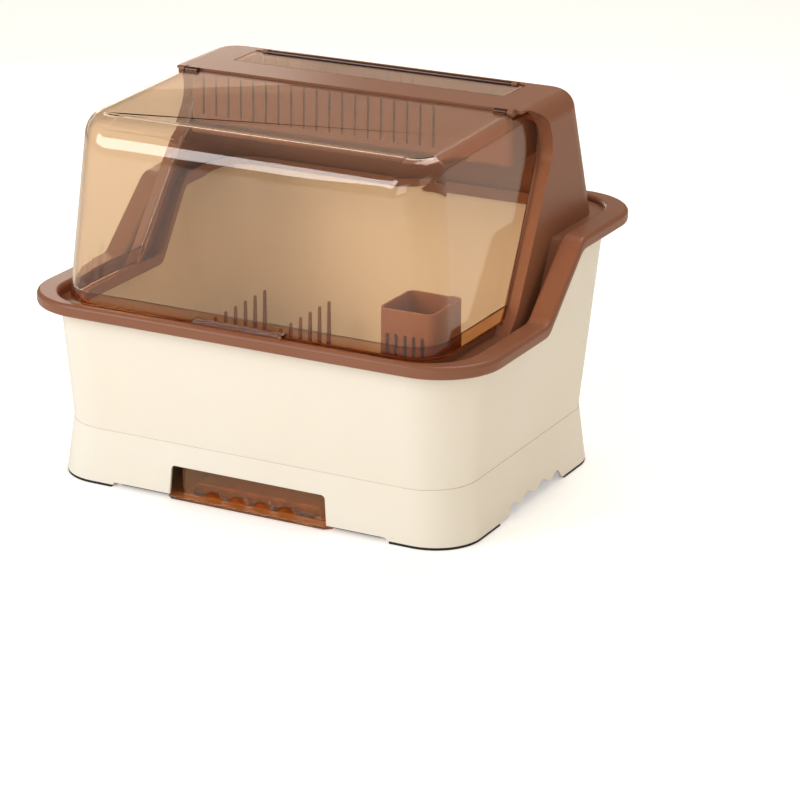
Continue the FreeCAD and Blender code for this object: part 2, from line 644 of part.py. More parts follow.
def rod(name, centre, radius, low, high, owner=None, kind="Pad"):
    """A round rod or, as a Pocket of its owner, a hole along X at centre (y, z)."""
    maker = owner.newObject if owner else doc.addObject
    sketch = maker("Sketcher::SketchObject", name + "_ring")
    place_sketch(sketch, "YZ", high if kind == "Pocket" else low, owner)
    spot = FreeCAD.Vector(centre[0].value, centre[1].value, 0)
    ring = sketch.addGeometry(Part.Circle(spot, FreeCAD.Vector(0, 0, 1), radius.value))
    fix(sketch, "DistanceX", ring, 3, centre[0])
    fix(sketch, "DistanceY", ring, 3, centre[1])
    index = sketch.addConstraint(Sketcher.Constraint("Radius", ring, radius.value))
    bind(sketch, f"Constraints[{index}]", radius)
    if owner is None:
        return prism(name, sketch, low, high)
    feature = owner.newObject(f"PartDesign::{kind}", name)
    feature.Profile = sketch
    bind(feature, "Length", size(high) - low)
    return feature


# Rim, gutter and hood, one moulding

def rim_zone(point, half, front, rear, corner):
    """How far a point lies outside a rounded rectangle in plan."""
    across = max(abs(point.x) - (half.value - corner.value), 0)
    ahead = point.y - (rear.value - corner.value)
    behind = (front.value + corner.value) - point.y
    along = max(ahead, behind, 0)
    if across > 0 and along > 0:
        return math.hypot(across, along) - corner.value
    return max(across, along) - corner.value


def rim_height(y):
    """Height of the rim's underside at a place between front and back."""
    share = (y - D.slope_from.value) / D.slope_run.value
    return D.rim_low.value + D.rim_rise.value * min(max(share, 0), 1)


def make_rim():
    """The S-shaped bead round the rim with the gutter inside it."""
    rim = rectangle(D.rim_half, D.rim_front, D.rim_rear, D.rim_corner)
    gutter = rectangle(D.gutter_half, D.gutter_front, D.gutter_rear, D.gutter_corner)
    web = rectangle(D.web_half, D.web_front, D.web_rear, D.web_corner)
    floor_bottom = -D.floor_thick
    outside = common("rim_outside", column("rim_column", rim, 0, D.total_tall),
                     above(rim_line(0, -BIG, BIG), "over_rim"))
    hollow = common("rim_hollow", column("hollow_column", web, 0, D.total_tall),
                    below(gutter_line(floor_bottom, -BIG, BIG), "under_gutter"))
    pan = common("gutter_pan", column("pan_column", web, 0, D.total_tall),
                 above(gutter_line(floor_bottom, -BIG, BIG), "over_pan"))
    whole = common("rim_block", fuse("rim_blocks", cut("rim_open", outside, hollow), pan),
                   below(rim_line(D.bead_tall, -BIG, BIG), "under_bead"))
    channel = common("gutter_space", column("gutter_column", gutter, 0, D.total_tall),
                     above(gutter_line(0, -BIG, BIG), "over_gutter"))
    ring = cut("rim_ring", whole, channel)

    def radii(edge):
        middle = edge.valueAt((edge.FirstParameter + edge.LastParameter) / 2)
        ends = [vertex.Point for vertex in edge.Vertexes] + [middle]
        upper = all(p.z - rim_height(p.y) > D.bead_tall.value * HIGH_UP for p in ends)
        on_rim = all(abs(rim_zone(p, D.rim_half, D.rim_front, D.rim_rear, D.rim_corner)) < NEAR for p in ends)
        inside = all(abs(rim_zone(p, D.gutter_half, D.gutter_front, D.gutter_rear, D.gutter_corner)) < 0.01
                     for p in ends)
        steep = abs(edge.tangentAt(edge.FirstParameter).z) > STEEP
        if steep or not (on_rim or inside and upper):
            return None
        radius = D.bead_round.value if upper else D.bead_under.value
        return radius, radius

    soft = rounded("rim_soft", ring, radii)
    thick = D.curb_thick
    curb_outer = rectangle(D.mouth_half + thick, D.mouth_front - thick, D.mouth_rear + thick,
                           D.mouth_corner + thick)
    curb = common("curb", common("curb_low", column("curb_column", curb_outer, 0, D.total_tall),
                                 above(gutter_line(-D.floor_thick / 2, -BIG, BIG), "over_curb")),
                  below(gutter_line(D.curb_tall, -BIG, BIG), "under_curb"))
    mouth = column("mouth", rectangle(D.mouth_half, D.mouth_front, D.mouth_rear, D.mouth_corner), 0,
                   D.total_tall)
    return cut("rim_and_gutter", fuse("rim_with_curb", soft, curb), mouth)


def make_hood():
    """The hood's shell behind the seam, with its flange, window, ledge, hinge ears and trough hooks."""
    outer = hood_form("hood_outer", size(0), D.hood_edge, D.hood_back_edge)
    inner = hood_form("hood_inner", D.hood_wall, D.hood_edge - D.hood_wall, D.hood_back_edge - D.hood_wall)
    behind = seam("seam_behind", size(0))
    shell = common("hood_shell", cut("hood_hollow", outer, inner), behind)
    core = hood_form("hood_core", D.flange_wide, D.core_edge, D.core_edge)
    strip = cut("flange_strip", behind, seam("flange_back", -D.flange_thick))
    band = cut("flange_band", common("flange_outer", outer, strip), core)
    middle = column("flange_middle", rectangle(D.trough_half + D.part_gap, -BIG, BIG), 0, D.plate_under)
    flange = cut("flange", band, middle)
    lip = common("top_lip", outer, column("lip_zone", rectangle(D.lip_half, D.lip_front, D.window_front),
                                          D.plate_under, D.total_tall + D.past))
    window_corners = rectangle(D.window_half, D.window_front, D.window_rear, D.window_corner)
    window = column("window", window_corners, D.plate_under - D.past, D.total_tall + D.past)
    ledge_outer = rectangle(D.window_half + D.ledge_wide, D.window_front - D.ledge_wide,
                            D.window_rear - D.ledge_wide)
    ledge_inner = rectangle(D.window_half - D.ledge_wide, D.window_front + D.ledge_wide,
                            D.window_rear + D.ledge_wide)
    ledge_top = D.window_seat - D.part_gap
    ledge = cut("ledge", column("ledge_plate", ledge_outer, ledge_top - D.ledge_thick, ledge_top),
                column("ledge_hole", ledge_inner, 0, BIG))
    floor_cut = above(gutter_line(-D.floor_thick / 2, -BIG, BIG), "over_hood_foot")
    standing = common("hood_standing", fuse("hood_walls", shell, flange, lip), floor_cut)
    opened = cut("hood_opened", standing, window)
    ears = [cover_ear(word, side) for side, word in ((-1, "left"), (1, "right"))]
    posts = [lid_post(word, side) for side, word in ((-1, "left"), (1, "right"))]
    frame = fuse("hood_and_rim", make_rim(), opened, ledge, *ears, *posts, *trough_hooks())
    holes = [rod("ear_holes", COVER_AXIS, D.pin_radius + D.pin_fit, -D.ear_far, D.ear_far),
             rod("post_holes", LID_AXIS, D.lid_pin_radius + D.pin_fit, -D.post_far, D.post_far)]
    drilled = cut("drilled", frame, holes[0])
    return cut("hood_frame", drilled, holes[1])


def sides(low, high, side):
    """Two distances from the middle in rising order, on one side of it."""
    return (size(low), size(high)) if side > 0 else (-size(high), -size(low))


def cover_ear(word, side):
    """A hinge ear that reaches forwards from the hood's top to the cover's pin."""
    near, far = sides(D.ear_near, D.ear_far, side)
    reach = D.ear_round
    corners = [(D.cover_axis_y - reach, D.cover_axis_z - reach, reach * NEARLY),
               (D.cover_axis_y - reach, D.cover_axis_z + reach, reach * NEARLY),
               (D.cover_axis_y + reach / 2, D.cover_axis_z + reach),
               (D.lip_front + reach, D.total_tall),
               (D.lip_front + reach, D.plate_under),
               (D.cover_axis_y + reach, D.cover_axis_z - reach)]
    name = f"cover_ear_{word}"
    return prism(name, outline(name + "_side", "YZ", near, corners), near, far)


def lid_post(word, side):
    """A small post at the window's back edge that holds the lid's pin."""
    near, far = sides(D.post_near, D.post_far, side)
    reach = D.lid_barrel
    top = D.lid_axis_z + reach
    corners = [(D.lid_axis - reach, D.plate_under, reach / 2), (D.lid_axis - reach, top, reach * NEARLY),
               (D.lid_axis + reach, top, reach * NEARLY), (D.window_rear + reach, D.total_tall),
               (D.window_rear + reach, D.plate_under)]
    name = f"lid_post_{word}"
    return prism(name, outline(name + "_side", "YZ", near, corners), near, far)


def trough_hooks():
    """An L-shaped rail on each side, under the hood's top, that the trough hangs on."""
    hooks = []
    for side, word in ((-1, "left"), (1, "right")):
        wall = D.trough_half + D.trough_ear + D.part_gap
        across = [D.trough_half + D.part_gap, wall, wall, wall + D.hook_thick, wall + D.hook_thick,
                  D.trough_half + D.part_gap]
        root, low = D.plate_under + D.root, D.hook_top - D.hook_thick
        levels = [D.hook_top, D.hook_top, root, root, low, low]
        name = f"trough_hook_{word}"
        side_view = outline(name + "_front", "XZ", D.hook_front + D.hook_long,
                            [(side * x, z) for x, z in zip(across, levels)])
        hooks.append(prism(name, side_view, 0, D.hook_long))
    return hooks


# Clear cover

def cover_form(name, inset, side_edge, front_edge, low):
    """The cover's outer form, or an inner one set in by a wall, rounded along its top edges."""
    back = D.window_front
    slope_top = [(-BIG, cover_top_at(-BIG) - inset), (BIG, cover_top_at(BIG) - inset),
                 (BIG, 2 * BIG), (-BIG, 2 * BIG)]

    def plan(half, front, corner):
        return [(-half + inset, D.cover_front + front + inset, corner - inset),
                (half - inset, D.cover_front + front + inset, corner - inset),
                (half - inset, back), (-half + inset, back)]

    body = loft(name + "_loft", [
        (low, plan(D.cover_half_low, size(0), D.cover_corner_low)),
        (D.total_tall + D.cover_over, plan(D.cover_half_top, D.cover_lean, D.cover_corner_top))])
    lid = prism(name + "_lid", outline(name + "_slope", "YZ", 0, slope_top), 2 * BIG)
    block = cut(name + "_block", body, lid)

    def radii(edge):
        ends = [vertex.Point for vertex in edge.Vertexes]
        on_top = all(abs(p.z - cover_top_at(p.y).value + inset.value) < NEAR for p in ends)
        if not on_top or edge.BoundBox.YMin > back.value - NEAR:
            return None
        if edge.BoundBox.YLength < NEAR:
            return front_edge.value, front_edge.value
        if edge.Curve.TypeId == "Part::GeomLine":
            return side_edge.value, side_edge.value
        first = edge.Vertexes[0].Point
        pair = (front_edge.value, side_edge.value)
        return pair if first.y < edge.Vertexes[-1].Point.y else pair[::-1]

    return rounded(name, block, radii)


def cover_top_at(y):
    """Height of the cover's sloping top at a place between front and back."""
    run = D.lip_front - (D.cover_front + D.cover_lean)
    return D.total_tall - D.cover_drop - D.cover_fall * (D.lip_front - y) / run


def make_cover():
    """The clear cover: a shell with a thick hem, a lift tab, round lobes and two hinge knuckles."""
    low = D.gutter_low + D.cover_lift
    outer = cover_form("cover_outer", size(0), D.cover_edge, D.cover_front_edge, low)
    inner = cover_form("cover_inner", D.cover_wall, D.cover_edge - D.cover_wall,
                       D.cover_front_edge - D.cover_wall, low)
    deep = D.cover_wall + D.hem_extra
    hem = cover_form("cover_hem", deep, D.cover_edge - deep, D.cover_front_edge - deep, low)
    raised = cut("cover_inner_raised", inner, column("hem_zone", rectangle(BIG, -BIG, BIG), 0,
                                                    low + D.hem_tall))
    shell = cut("cover_shell", outer, fuse("cover_inside", raised, hem))
    front = cut("cover_front", shell, seam("cover_seam", D.seam_gap))
    behind = column("cover_top_end", rectangle(D.notch_far, D.cover_axis_y + D.cover_tail, BIG), low, 2 * BIG)
    notches = []
    for side, word in ((-1, "left"), (1, "right")):
        near, far = sides(D.knuckle_far, D.notch_far, side)
        notches.append(column(f"notch_{word}", box(near, far, D.cover_axis_y - D.notch_deep, BIG),
                              D.cover_axis_z - D.notch_deep * 2, 2 * BIG))
    trimmed = cut("cover_trimmed", front, fuse("cover_cuts", behind, *notches))
    tab_low = D.rim_low + D.bead_tall + D.tab_over
    tab = column("lift_tab", [(-D.tab_half, D.cover_front - D.tab_reach, D.tab_round),
                              (D.tab_half, D.cover_front - D.tab_reach, D.tab_round),
                              (D.tab_half, D.cover_front + D.cover_wall),
                              (-D.tab_half, D.cover_front + D.cover_wall)], tab_low, tab_low + D.tab_thick)
    knuckles = []
    for side, word in ((-1, "left"), (1, "right")):
        near, far = sides(D.knuckle_near, D.knuckle_far, side)
        knuckles.append(rod(f"knuckle_{word}", (D.cover_axis_y, D.cover_axis_z), D.knuckle_round, near, far))
    whole = fuse("cover_whole", trimmed, tab, *knuckles)
    bore = rod("cover_bore", COVER_AXIS, D.pin_radius + D.pin_play, -D.knuckle_far, D.knuckle_far)
    return cut("front_cover", whole, bore)


# Bin and base

def make_bin():
    """The bin: a deep tub whose top edge follows the rim, with a spigot that sits in the base."""
    def tub(name, inset):
        return loft(name, [
            (D.bin_low, rectangle(D.bin_half_low - inset, -D.bin_front_low + inset, D.bin_rear_low - inset,
                                D.bin_corner_low - inset)),
            (D.rim_low, rectangle(D.bin_half_mid - inset, -D.bin_front_mid + inset, D.bin_rear_mid - inset,
                                  D.bin_corner_mid - inset)),
            (D.rim_high, rectangle(D.bin_half_top - inset, -D.bin_front_top + inset, D.bin_rear_top - inset,
                            D.bin_corner_top - inset))])

    def spigot(name, inset, low, high):
        step = D.base_wall + D.part_gap + inset
        corners = rectangle(D.base_half_top - step, -D.base_front_top + step, D.base_rear_top - step,
                            D.base_corner_top - step)
        return column(name, corners, low, high)

    shoulder = D.bin_low + D.bin_floor
    outer = fuse("bin_outer", tub("tub_outer", size(0)),
                 spigot("spigot_outer", size(0), D.bin_bottom, shoulder))
    hollow = cut("tub_hollow", tub("tub_inner", D.bin_wall), column("tub_bottom", rectangle(BIG, -BIG, BIG),
                                                                    0, shoulder))
    well = spigot("spigot_inner", D.bin_wall, D.bin_floor_top, shoulder + D.past)
    drain = column("bin_drain", rectangle(D.drain_half, D.drain_in_front - D.base_front_top,
                                            D.base_rear_top - D.drain_in_rear, D.drain_corner), 0,
                   D.bin_floor_top + D.past)
    inside = fuse("bin_inside", hollow, well, drain, above(rim_line(0, -BIG, BIG), "over_bin"))
    return cut("bin_body", outer, inside)


def base_plan(level, inset):
    """The base's plan at its bottom (0) or its top (1), set in by a length."""
    sizes = ((D.base_half_low, D.base_front_low, D.base_rear_low, D.base_corner_low),
             (D.base_half_top, D.base_front_top, D.base_rear_top, D.base_corner_top))[level]
    half, front, rear, corner = [length - inset for length in sizes]
    return rectangle(half, -front, rear, corner)


def make_base():
    """The skirted base with its ledge, tray rails, front opening and scalloped side grips."""
    def skirt(name, inset):
        return loft(name, [(D.pad_tall, base_plan(0, inset)), (D.base_top, base_plan(1, inset))])

    outer = skirt("skirt_outer", size(0))
    walls = cut("skirt_walls", outer, skirt("skirt_inner", D.base_wall))
    level = column("ledge_level", rectangle(BIG, -BIG, BIG), D.bin_bottom - D.base_wall, D.bin_bottom)
    ledge = cut("base_ledge", common("ledge_block", skirt("skirt_form", size(0)), level),
                column("ledge_opening", base_plan(1, D.base_ledge), 0, D.base_top))
    rails = [tray_rail(word, side) for side, word in ((-1, "left"), (1, "right"))]
    shell = fuse("base_shell", walls, ledge, *rails)
    half, skew = D.mouth_half_top, D.mouth_skew
    front_hole = outline("front_hole_view", "XZ", D.mouth_cut - D.base_front_top, [
        (-D.arch_half, -D.past), (-D.arch_half, D.arch_top, D.arch_top / 2), (-half - skew, D.arch_top),
        (-half, D.mouth_top, D.mouth_round), (half, D.mouth_top, D.mouth_round), (half + skew, D.arch_top),
        (D.arch_half, D.arch_top, D.arch_top / 2), (D.arch_half, -D.past)])
    peaks = [D.grip_first + D.grip_pitch * i for i in range(int(D.grip_count.value))]
    wave = [(peaks[0] - D.grip_end, -D.past)]
    for peak in peaks:
        wave.append((peak, D.grip_peak, D.grip_round))
        wave.append((peak + D.grip_pitch / 2, D.grip_valley, D.grip_round))
    wave[-1] = (peaks[-1] + D.grip_end, -D.past)
    grips = prism("side_grips", outline("grip_view", "YZ", 0, wave), 2 * BIG)
    middle = column("grip_middle", rectangle(D.arch_half + D.base_ledge, -BIG, BIG), -D.base_top, D.base_top)
    openings = fuse("base_openings", prism("front_hole", front_hole, 0, D.base_front_low),
                    cut("side_grip_cuts", grips, middle))
    return cut("base_skirt", shell, openings)


def tray_rail(word, side):
    """A C-shaped rail on each side, from the front wall to the back wall, that guides the tray."""
    web, near = D.rail_far - D.base_wall, D.tray_half - D.rail_lip
    far = D.rail_far
    low, seat = D.tray_low - D.part_gap - D.rail_thick, D.tray_low - D.part_gap
    over = D.tray_low + D.tray_thick + D.part_gap * 2
    corners = [(near, low), (far, low), (far, D.rail_tall), (web, D.rail_tall), (web, over + D.rail_upper),
               (near, over + D.rail_upper), (near, over), (web, over), (web, seat), (near, seat)]
    name = f"tray_rail_{word}"
    rear = D.base_rear_top - D.base_wall / 2
    view = outline(name + "_view", "XZ", rear, [(side * x, z) for x, z in corners])
    return prism(name, view, 0, rear + D.base_front_top - D.base_wall / 2)


def foot_pad(name, side, front):
    """A rubber strip under one corner of the skirt."""
    outer = column(name + "_outer", base_plan(0, size(0)), 0, D.pad_tall)
    ring = cut(name + "_ring", outer, column(name + "_inner", base_plan(0, D.pad_wide), 0, D.pad_tall))
    near, far = sides(D.rail_far + D.part_gap, BIG, side)
    edge = (-BIG, -D.pad_front_end) if front else (D.pad_rear_end, BIG)
    zone = column(name + "_zone", [(near, edge[0]), (far, edge[0]), (far, edge[1]), (near, edge[1])],
                  0, D.pad_tall)
    return common(name, ring, zone)


# Pieces built as bodies with pads, pockets and patterns

def pad(owner, name, plane, corners, low, high):
    """Adds material between two levels along the plane's axis."""
    sketch = outline(name + "_sketch", plane, high if plane == "XZ" else low, corners, owner)
    feature = owner.newObject("PartDesign::Pad", name)
    feature.Profile = sketch
    bind(feature, "Length", size(high) - low)
    return feature


def pocket(owner, name, plane, corners, low, high):
    """Takes material away between two levels along the plane's axis."""
    sketch = outline(name + "_sketch", plane, low if plane == "XZ" else high, corners, owner)
    feature = owner.newObject("PartDesign::Pocket", name)
    feature.Profile = sketch
    bind(feature, "Length", size(high) - low)
    return feature


def row(owner, feature, axis, step, count):
    """Repeats a feature along an axis at an even step."""
    pattern = owner.newObject("PartDesign::LinearPattern", feature.Name + "_row")
    pattern.Originals = [feature]
    line = [o for o in owner.Origin.OriginFeatures if o.Role == f"{axis}_Axis"][0]
    pattern.Direction = (line, [""])
    bind(pattern, "Length", step * (size(count) - 1))
    bind(pattern, "Occurrences", count)
    owner.Tip = pattern
    return pattern


def box(left, right, front, rear, radius=None):
    """The corners of a rectangle in a sketch, from its left to its right side and up."""
    corners = [(left, front), (right, front), (right, rear), (left, rear)]
    return corners if radius is None else [corner + (radius,) for corner in corners]


def make_tray():
    """The drip tray: a pan on a flange plate, with finger gaps under its front and a pull lip."""
    tray = doc.addObject("PartDesign::Body", "drip_tray")
    low, plate_top = D.tray_low, D.tray_low + D.tray_thick
    pan_half = D.mouth_half_top - D.pan_gap
    wall, rear = D.tray_thick, D.pan_rear
    front = -D.base_front_low + D.pan_back
    lip_edge = -D.base_front_low - D.lip_proud
    pad(tray, "tray_plate", "XY", box(-D.tray_half, D.tray_half, front - D.plate_ahead, rear + D.plate_behind,
                                   D.plate_corner),
        low, plate_top)
    lip, lip_round = D.tray_lip_half, D.tray_lip_corner
    pad(tray, "tray_lip", "XY", [(-lip, front), (-lip, front - D.plate_ahead, lip_round),
                                 (-lip + D.lip_reach, lip_edge, lip_round),
                                 (lip - D.lip_reach, lip_edge, lip_round),
                                 (lip, front - D.plate_ahead, lip_round), (lip, front)],
        low - D.lip_down, plate_top)
    pad(tray, "tray_pan", "XY", box(-pan_half, pan_half, front, rear, D.pan_corner), low, D.pan_top)
    pocket(tray, "tray_hollow", "XY",
           box(-pan_half + wall, pan_half - wall, front + wall, rear - wall, D.pan_corner - wall),
           plate_top, D.pan_top)
    block_rear = front + D.finger_deep + wall
    pad(tray, "finger_roof", "XY", box(-D.roof_half, D.roof_half, front + wall / 2, block_rear),
        low, D.finger_top + wall)
    first = D.finger_first
    gap = [(first - D.finger_half, plate_top), (first + D.finger_half, plate_top),
           (first + D.finger_half / 2, D.finger_top, D.finger_half / 2),
           (first - D.finger_half / 2, D.finger_top, D.finger_half / 2)]
    scoop = pocket(tray, "finger_gap", "XZ", gap, front - D.past, front + D.finger_deep)
    row(tray, scoop, "X", D.finger_pitch, D.finger_count)
    return tray


def make_lid():
    """The window lid: a flush plate with a round hinge ridge along its back."""
    lid = doc.addObject("PartDesign::Body", "window_lid")
    half = D.window_half - D.lid_gap
    rear = D.lid_axis - D.lid_barrel - D.lid_gap
    pad(lid, "lid_plate", "XY",
        box(-half, half, D.window_front + D.lid_gap, rear, D.window_corner - D.lid_gap),
        D.window_seat, D.total_tall)
    pad(lid, "lid_tail", "XY",
        box(-D.ridge_half, D.ridge_half, D.window_front + D.window_deep / 2, D.lid_axis),
        D.window_seat, D.total_tall)
    rod("lid_ridge", LID_AXIS, D.lid_barrel, -D.ridge_half, D.ridge_half, lid)
    rod("lid_bore", LID_AXIS, D.lid_pin_radius + D.pin_play, -D.ridge_half, D.ridge_half, lid, "Pocket")
    return lid


def make_pin(name, centre, radius, low, high):
    """A round hinge pin."""
    pin = doc.addObject("PartDesign::Body", name)
    rod(name, centre, radius, low, high, pin)
    return pin


def make_trough():
    """The cutlery trough: an open box with drain slots front and back, a divider and end ears."""
    trough = doc.addObject("PartDesign::Body", "cutlery_trough")
    half, wall = D.trough_half, D.trough_wall
    front, rear = D.trough_front, D.trough_rear
    top = D.plate_under - D.part_gap
    pad(trough, "trough_block", "XY", box(-half, half, front, rear, D.trough_corner), D.trough_low, top)
    pad(trough, "trough_ears", "XY",
        box(-half - D.trough_ear, half + D.trough_ear, D.hook_front + D.part_gap,
            D.hook_front + D.hook_long - D.part_gap, D.trough_ear_corner),
        D.hook_top, D.hook_top + D.ear_thick)
    pocket(trough, "trough_left", "XY",
           box(-half + wall, D.divider_at, front + wall, rear - wall, D.trough_corner - wall),
           D.trough_low + wall, top)
    pocket(trough, "trough_right", "XY",
           box(D.divider_at + wall, half - wall, front + wall, rear - wall, D.trough_corner - wall),
           D.trough_low + wall, top)
    pocket(trough, "divider_drop", "XY",
           box(D.divider_at - D.past, D.divider_at + wall + D.past, front + wall, rear - wall),
           top - D.divider_drop, top)
    first = -half + D.slot_pitch
    slot = box(first, first + D.slot_wide, D.trough_low + D.slot_over, top - D.slot_under)
    front_slot = pocket(trough, "front_slot", "XZ", slot, front - D.past, front + wall + D.past)
    row(trough, front_slot, "X", D.slot_pitch, D.front_slots)
    rear_slot = pocket(trough, "rear_slot", "XZ", slot, rear - wall - D.past, rear + D.past)
    row(trough, rear_slot, "X", D.slot_pitch, D.rear_slots)
    return trough


def make_board():
    """The slotted drain board on its legs, above the bin's floor."""
    board = doc.addObject("PartDesign::Body", "drain_board")
    front, rear = D.board_front, D.board_rear
    pad(board, "board_plate", "XY", box(-D.board_half, D.board_half, front, rear, D.board_corner),
        D.board_low, D.board_top)
    leg_at = D.board_half - D.board_corner
    for i, (x, y) in enumerate([(-leg_at, front + D.leg_in), (leg_at - D.leg_wide, front + D.leg_in),
                                (-leg_at, rear - D.leg_in - D.leg_wide),
                                (leg_at - D.leg_wide, rear - D.leg_in - D.leg_wide)]):
        pad(board, f"board_leg_{i + 1}", "XY", box(x, x + D.leg_wide, y, y + D.leg_wide),
            D.bin_floor_top, D.board_low + D.board_thick / 2)
    first = -D.drain_pitch * (D.drain_count - 1) / 2 - D.drain_wide / 2
    middle = (front + rear) / 2
    edge = D.board_edge
    rows = [(front + edge, middle - edge / 2), (middle + edge / 2, rear - edge)]
    for i, (near, far) in enumerate(rows):
        slot = pocket(board, f"board_slot_{i + 1}", "XY", box(first, first + D.drain_wide, near, far),
                      D.board_low - D.past, D.board_top + D.past)
        row(board, slot, "X", D.drain_pitch, D.drain_count)
    return board


def make_rack(name, left, right, front, step, count, tall, lines):
    """A rack: a ladder frame with rows of upright pegs."""
    rack = doc.addObject("PartDesign::Body", name)
    bar, peg = D.rack_bar, D.peg_thick
    rear = front + step * (count - 1) + bar
    low, high = D.board_top, D.board_top + bar
    pad(rack, "rack_frame", "XY", box(left, right, front, rear, D.rack_corner), low, high)
    pocket(rack, "rack_open", "XY",
           box(left + bar, right - bar, front + bar, rear - bar, D.rack_corner_in), low, high)
    for i in range(lines):
        across = left + bar + (right - left - bar * 3) * (2 * i + 1) / (2 * lines)
        pad(rack, f"rack_rail_{i + 1}", "XY", box(across, across + bar, front + bar / 2, rear - bar / 2),
            low, high)
        at = across + (bar - peg) / 2
        first = pad(rack, f"rack_peg_{i + 1}", "XY", box(at, at + peg, front + (bar - peg) / 2,
                                                         front + (bar + peg) / 2),
                    low + bar / 2, high + tall)
        row(rack, first, "Y", step, count)
    return rack


def make_holder():
    """The tall cutlery holder with its slotted front and back."""
    holder = doc.addObject("PartDesign::Body", "cutlery_holder")
    left, right = D.holder_right - D.holder_wide, D.holder_right
    front, rear = D.holder_front, D.holder_front + D.holder_deep
    low, top, wall = D.board_top, D.board_top + D.holder_tall, D.holder_wall
    pad(holder, "holder_block", "XY", box(left, right, front, rear, D.holder_corner), low, top)
    pocket(holder, "holder_hollow", "XY",
           box(left + wall, right - wall, front + wall, rear - wall, D.holder_corner - wall), low + wall, top)
    first = left + D.holder_corner
    slot = box(first, first + D.holder_slot, low + D.holder_base, top - D.holder_base)
    slots = pocket(holder, "holder_slot", "XZ", slot, front - D.past, rear + D.past)
    row(holder, slots, "X", D.holder_pitch, D.holder_slots)
    return holder


def make_bumper(name, side):
    """A soft stop on the gutter floor, under the cover's hem."""
    near, far = sides(D.bumper_at, D.bumper_at + D.bumper_long, side)
    return column(name, box(near, far, D.cover_front + D.part_gap, D.cover_front + D.bumper_wide),
                  D.gutter_low, D.gutter_low + D.cover_lift - D.part_gap)


nodes = {
    "base_skirt": make_base(),
    "foot_pad_front_left": foot_pad("foot_pad_front_left", -1, True),
    "foot_pad_front_right": foot_pad("foot_pad_front_right", 1, True),
    "foot_pad_rear_left": foot_pad("foot_pad_rear_left", -1, False),
    "foot_pad_rear_right": foot_pad("foot_pad_rear_right", 1, False),
    "drip_tray": make_tray(),
    "bin_body": make_bin(),
    "hood_frame": make_hood(),
    "front_cover": make_cover(),
    "cover_hinge_pin_left": make_pin("cover_hinge_pin_left", COVER_AXIS, D.pin_radius,
                                     -D.ear_far, -D.knuckle_near - D.pin_short),
    "cover_hinge_pin_right": make_pin("cover_hinge_pin_right", COVER_AXIS, D.pin_radius,
                                      D.knuckle_near + D.pin_short, D.ear_far),
    "cover_bumper_left": make_bumper("cover_bumper_left", -1),
    "cover_bumper_right": make_bumper("cover_bumper_right", 1),
    "window_lid": make_lid(),
    "lid_hinge_pin_left": make_pin("lid_hinge_pin_left", LID_AXIS, D.lid_pin_radius,
                                   -D.post_far, -D.ridge_half + D.lid_pin_in),
    "lid_hinge_pin_right": make_pin("lid_hinge_pin_right", LID_AXIS, D.lid_pin_radius,
                                    D.ridge_half - D.lid_pin_in, D.post_far),
    "cutlery_trough": make_trough(),
    "drain_board": make_board(),
    "plate_rack_front": make_rack("plate_rack_front", -D.rack_far, -D.rack_near, D.rack_front,
                                  D.peg_step, D.peg_count, D.peg_tall, 2),
    "plate_rack_rear": make_rack("plate_rack_rear", -D.rack_far, -D.rack_near, D.rack_rear,
                                 D.peg_step, D.peg_count, D.peg_tall, 2),
    "bowl_rack": make_rack("bowl_rack", D.rack_near, D.rack_far, D.rack_rear, D.bowl_step, D.bowl_count,
                           D.bowl_tall, 3),
    "cutlery_holder": make_holder(),
}
doc.recompute()

for thing in doc.Objects:
    if "Invalid" in thing.State or "Error" in thing.State:
        raise RuntimeError(f"{thing.Name} did not build: {thing.State}")
for name, thing in nodes.items():
    shape = thing.Shape
    if shape.isNull() or not shape.isValid() or len(shape.Solids) != 1:
        raise RuntimeError(f"{name} is not one valid solid: {len(shape.Solids)} solids")
    thing.Label = name

os.makedirs("parts", exist_ok=True)
for name, thing in nodes.items():
    thing.Shape.exportStep(f"parts/{name}.step")
    extent = thing.Shape.BoundBox
    print(f"{name}: x {extent.XMin:.1f} to {extent.XMax:.1f}, y {extent.YMin:.1f} to {extent.YMax:.1f}, "
          f"z {extent.ZMin:.1f} to {extent.ZMax:.1f}, volume {thing.Shape.Volume / 1000:.1f} cm3")
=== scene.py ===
"""Dresses the dish storage cabinet: cream tub and base, brown hood frame, clear cover, amber tray.

Metres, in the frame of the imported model: X across the front, Y to the back, Z up.
"""
import bmesh
import bpy
import json
import math
from bpy.props import (FloatProperty, FloatVectorProperty, IntProperty, PointerProperty,
                       StringProperty)
from mathutils import Matrix, Vector

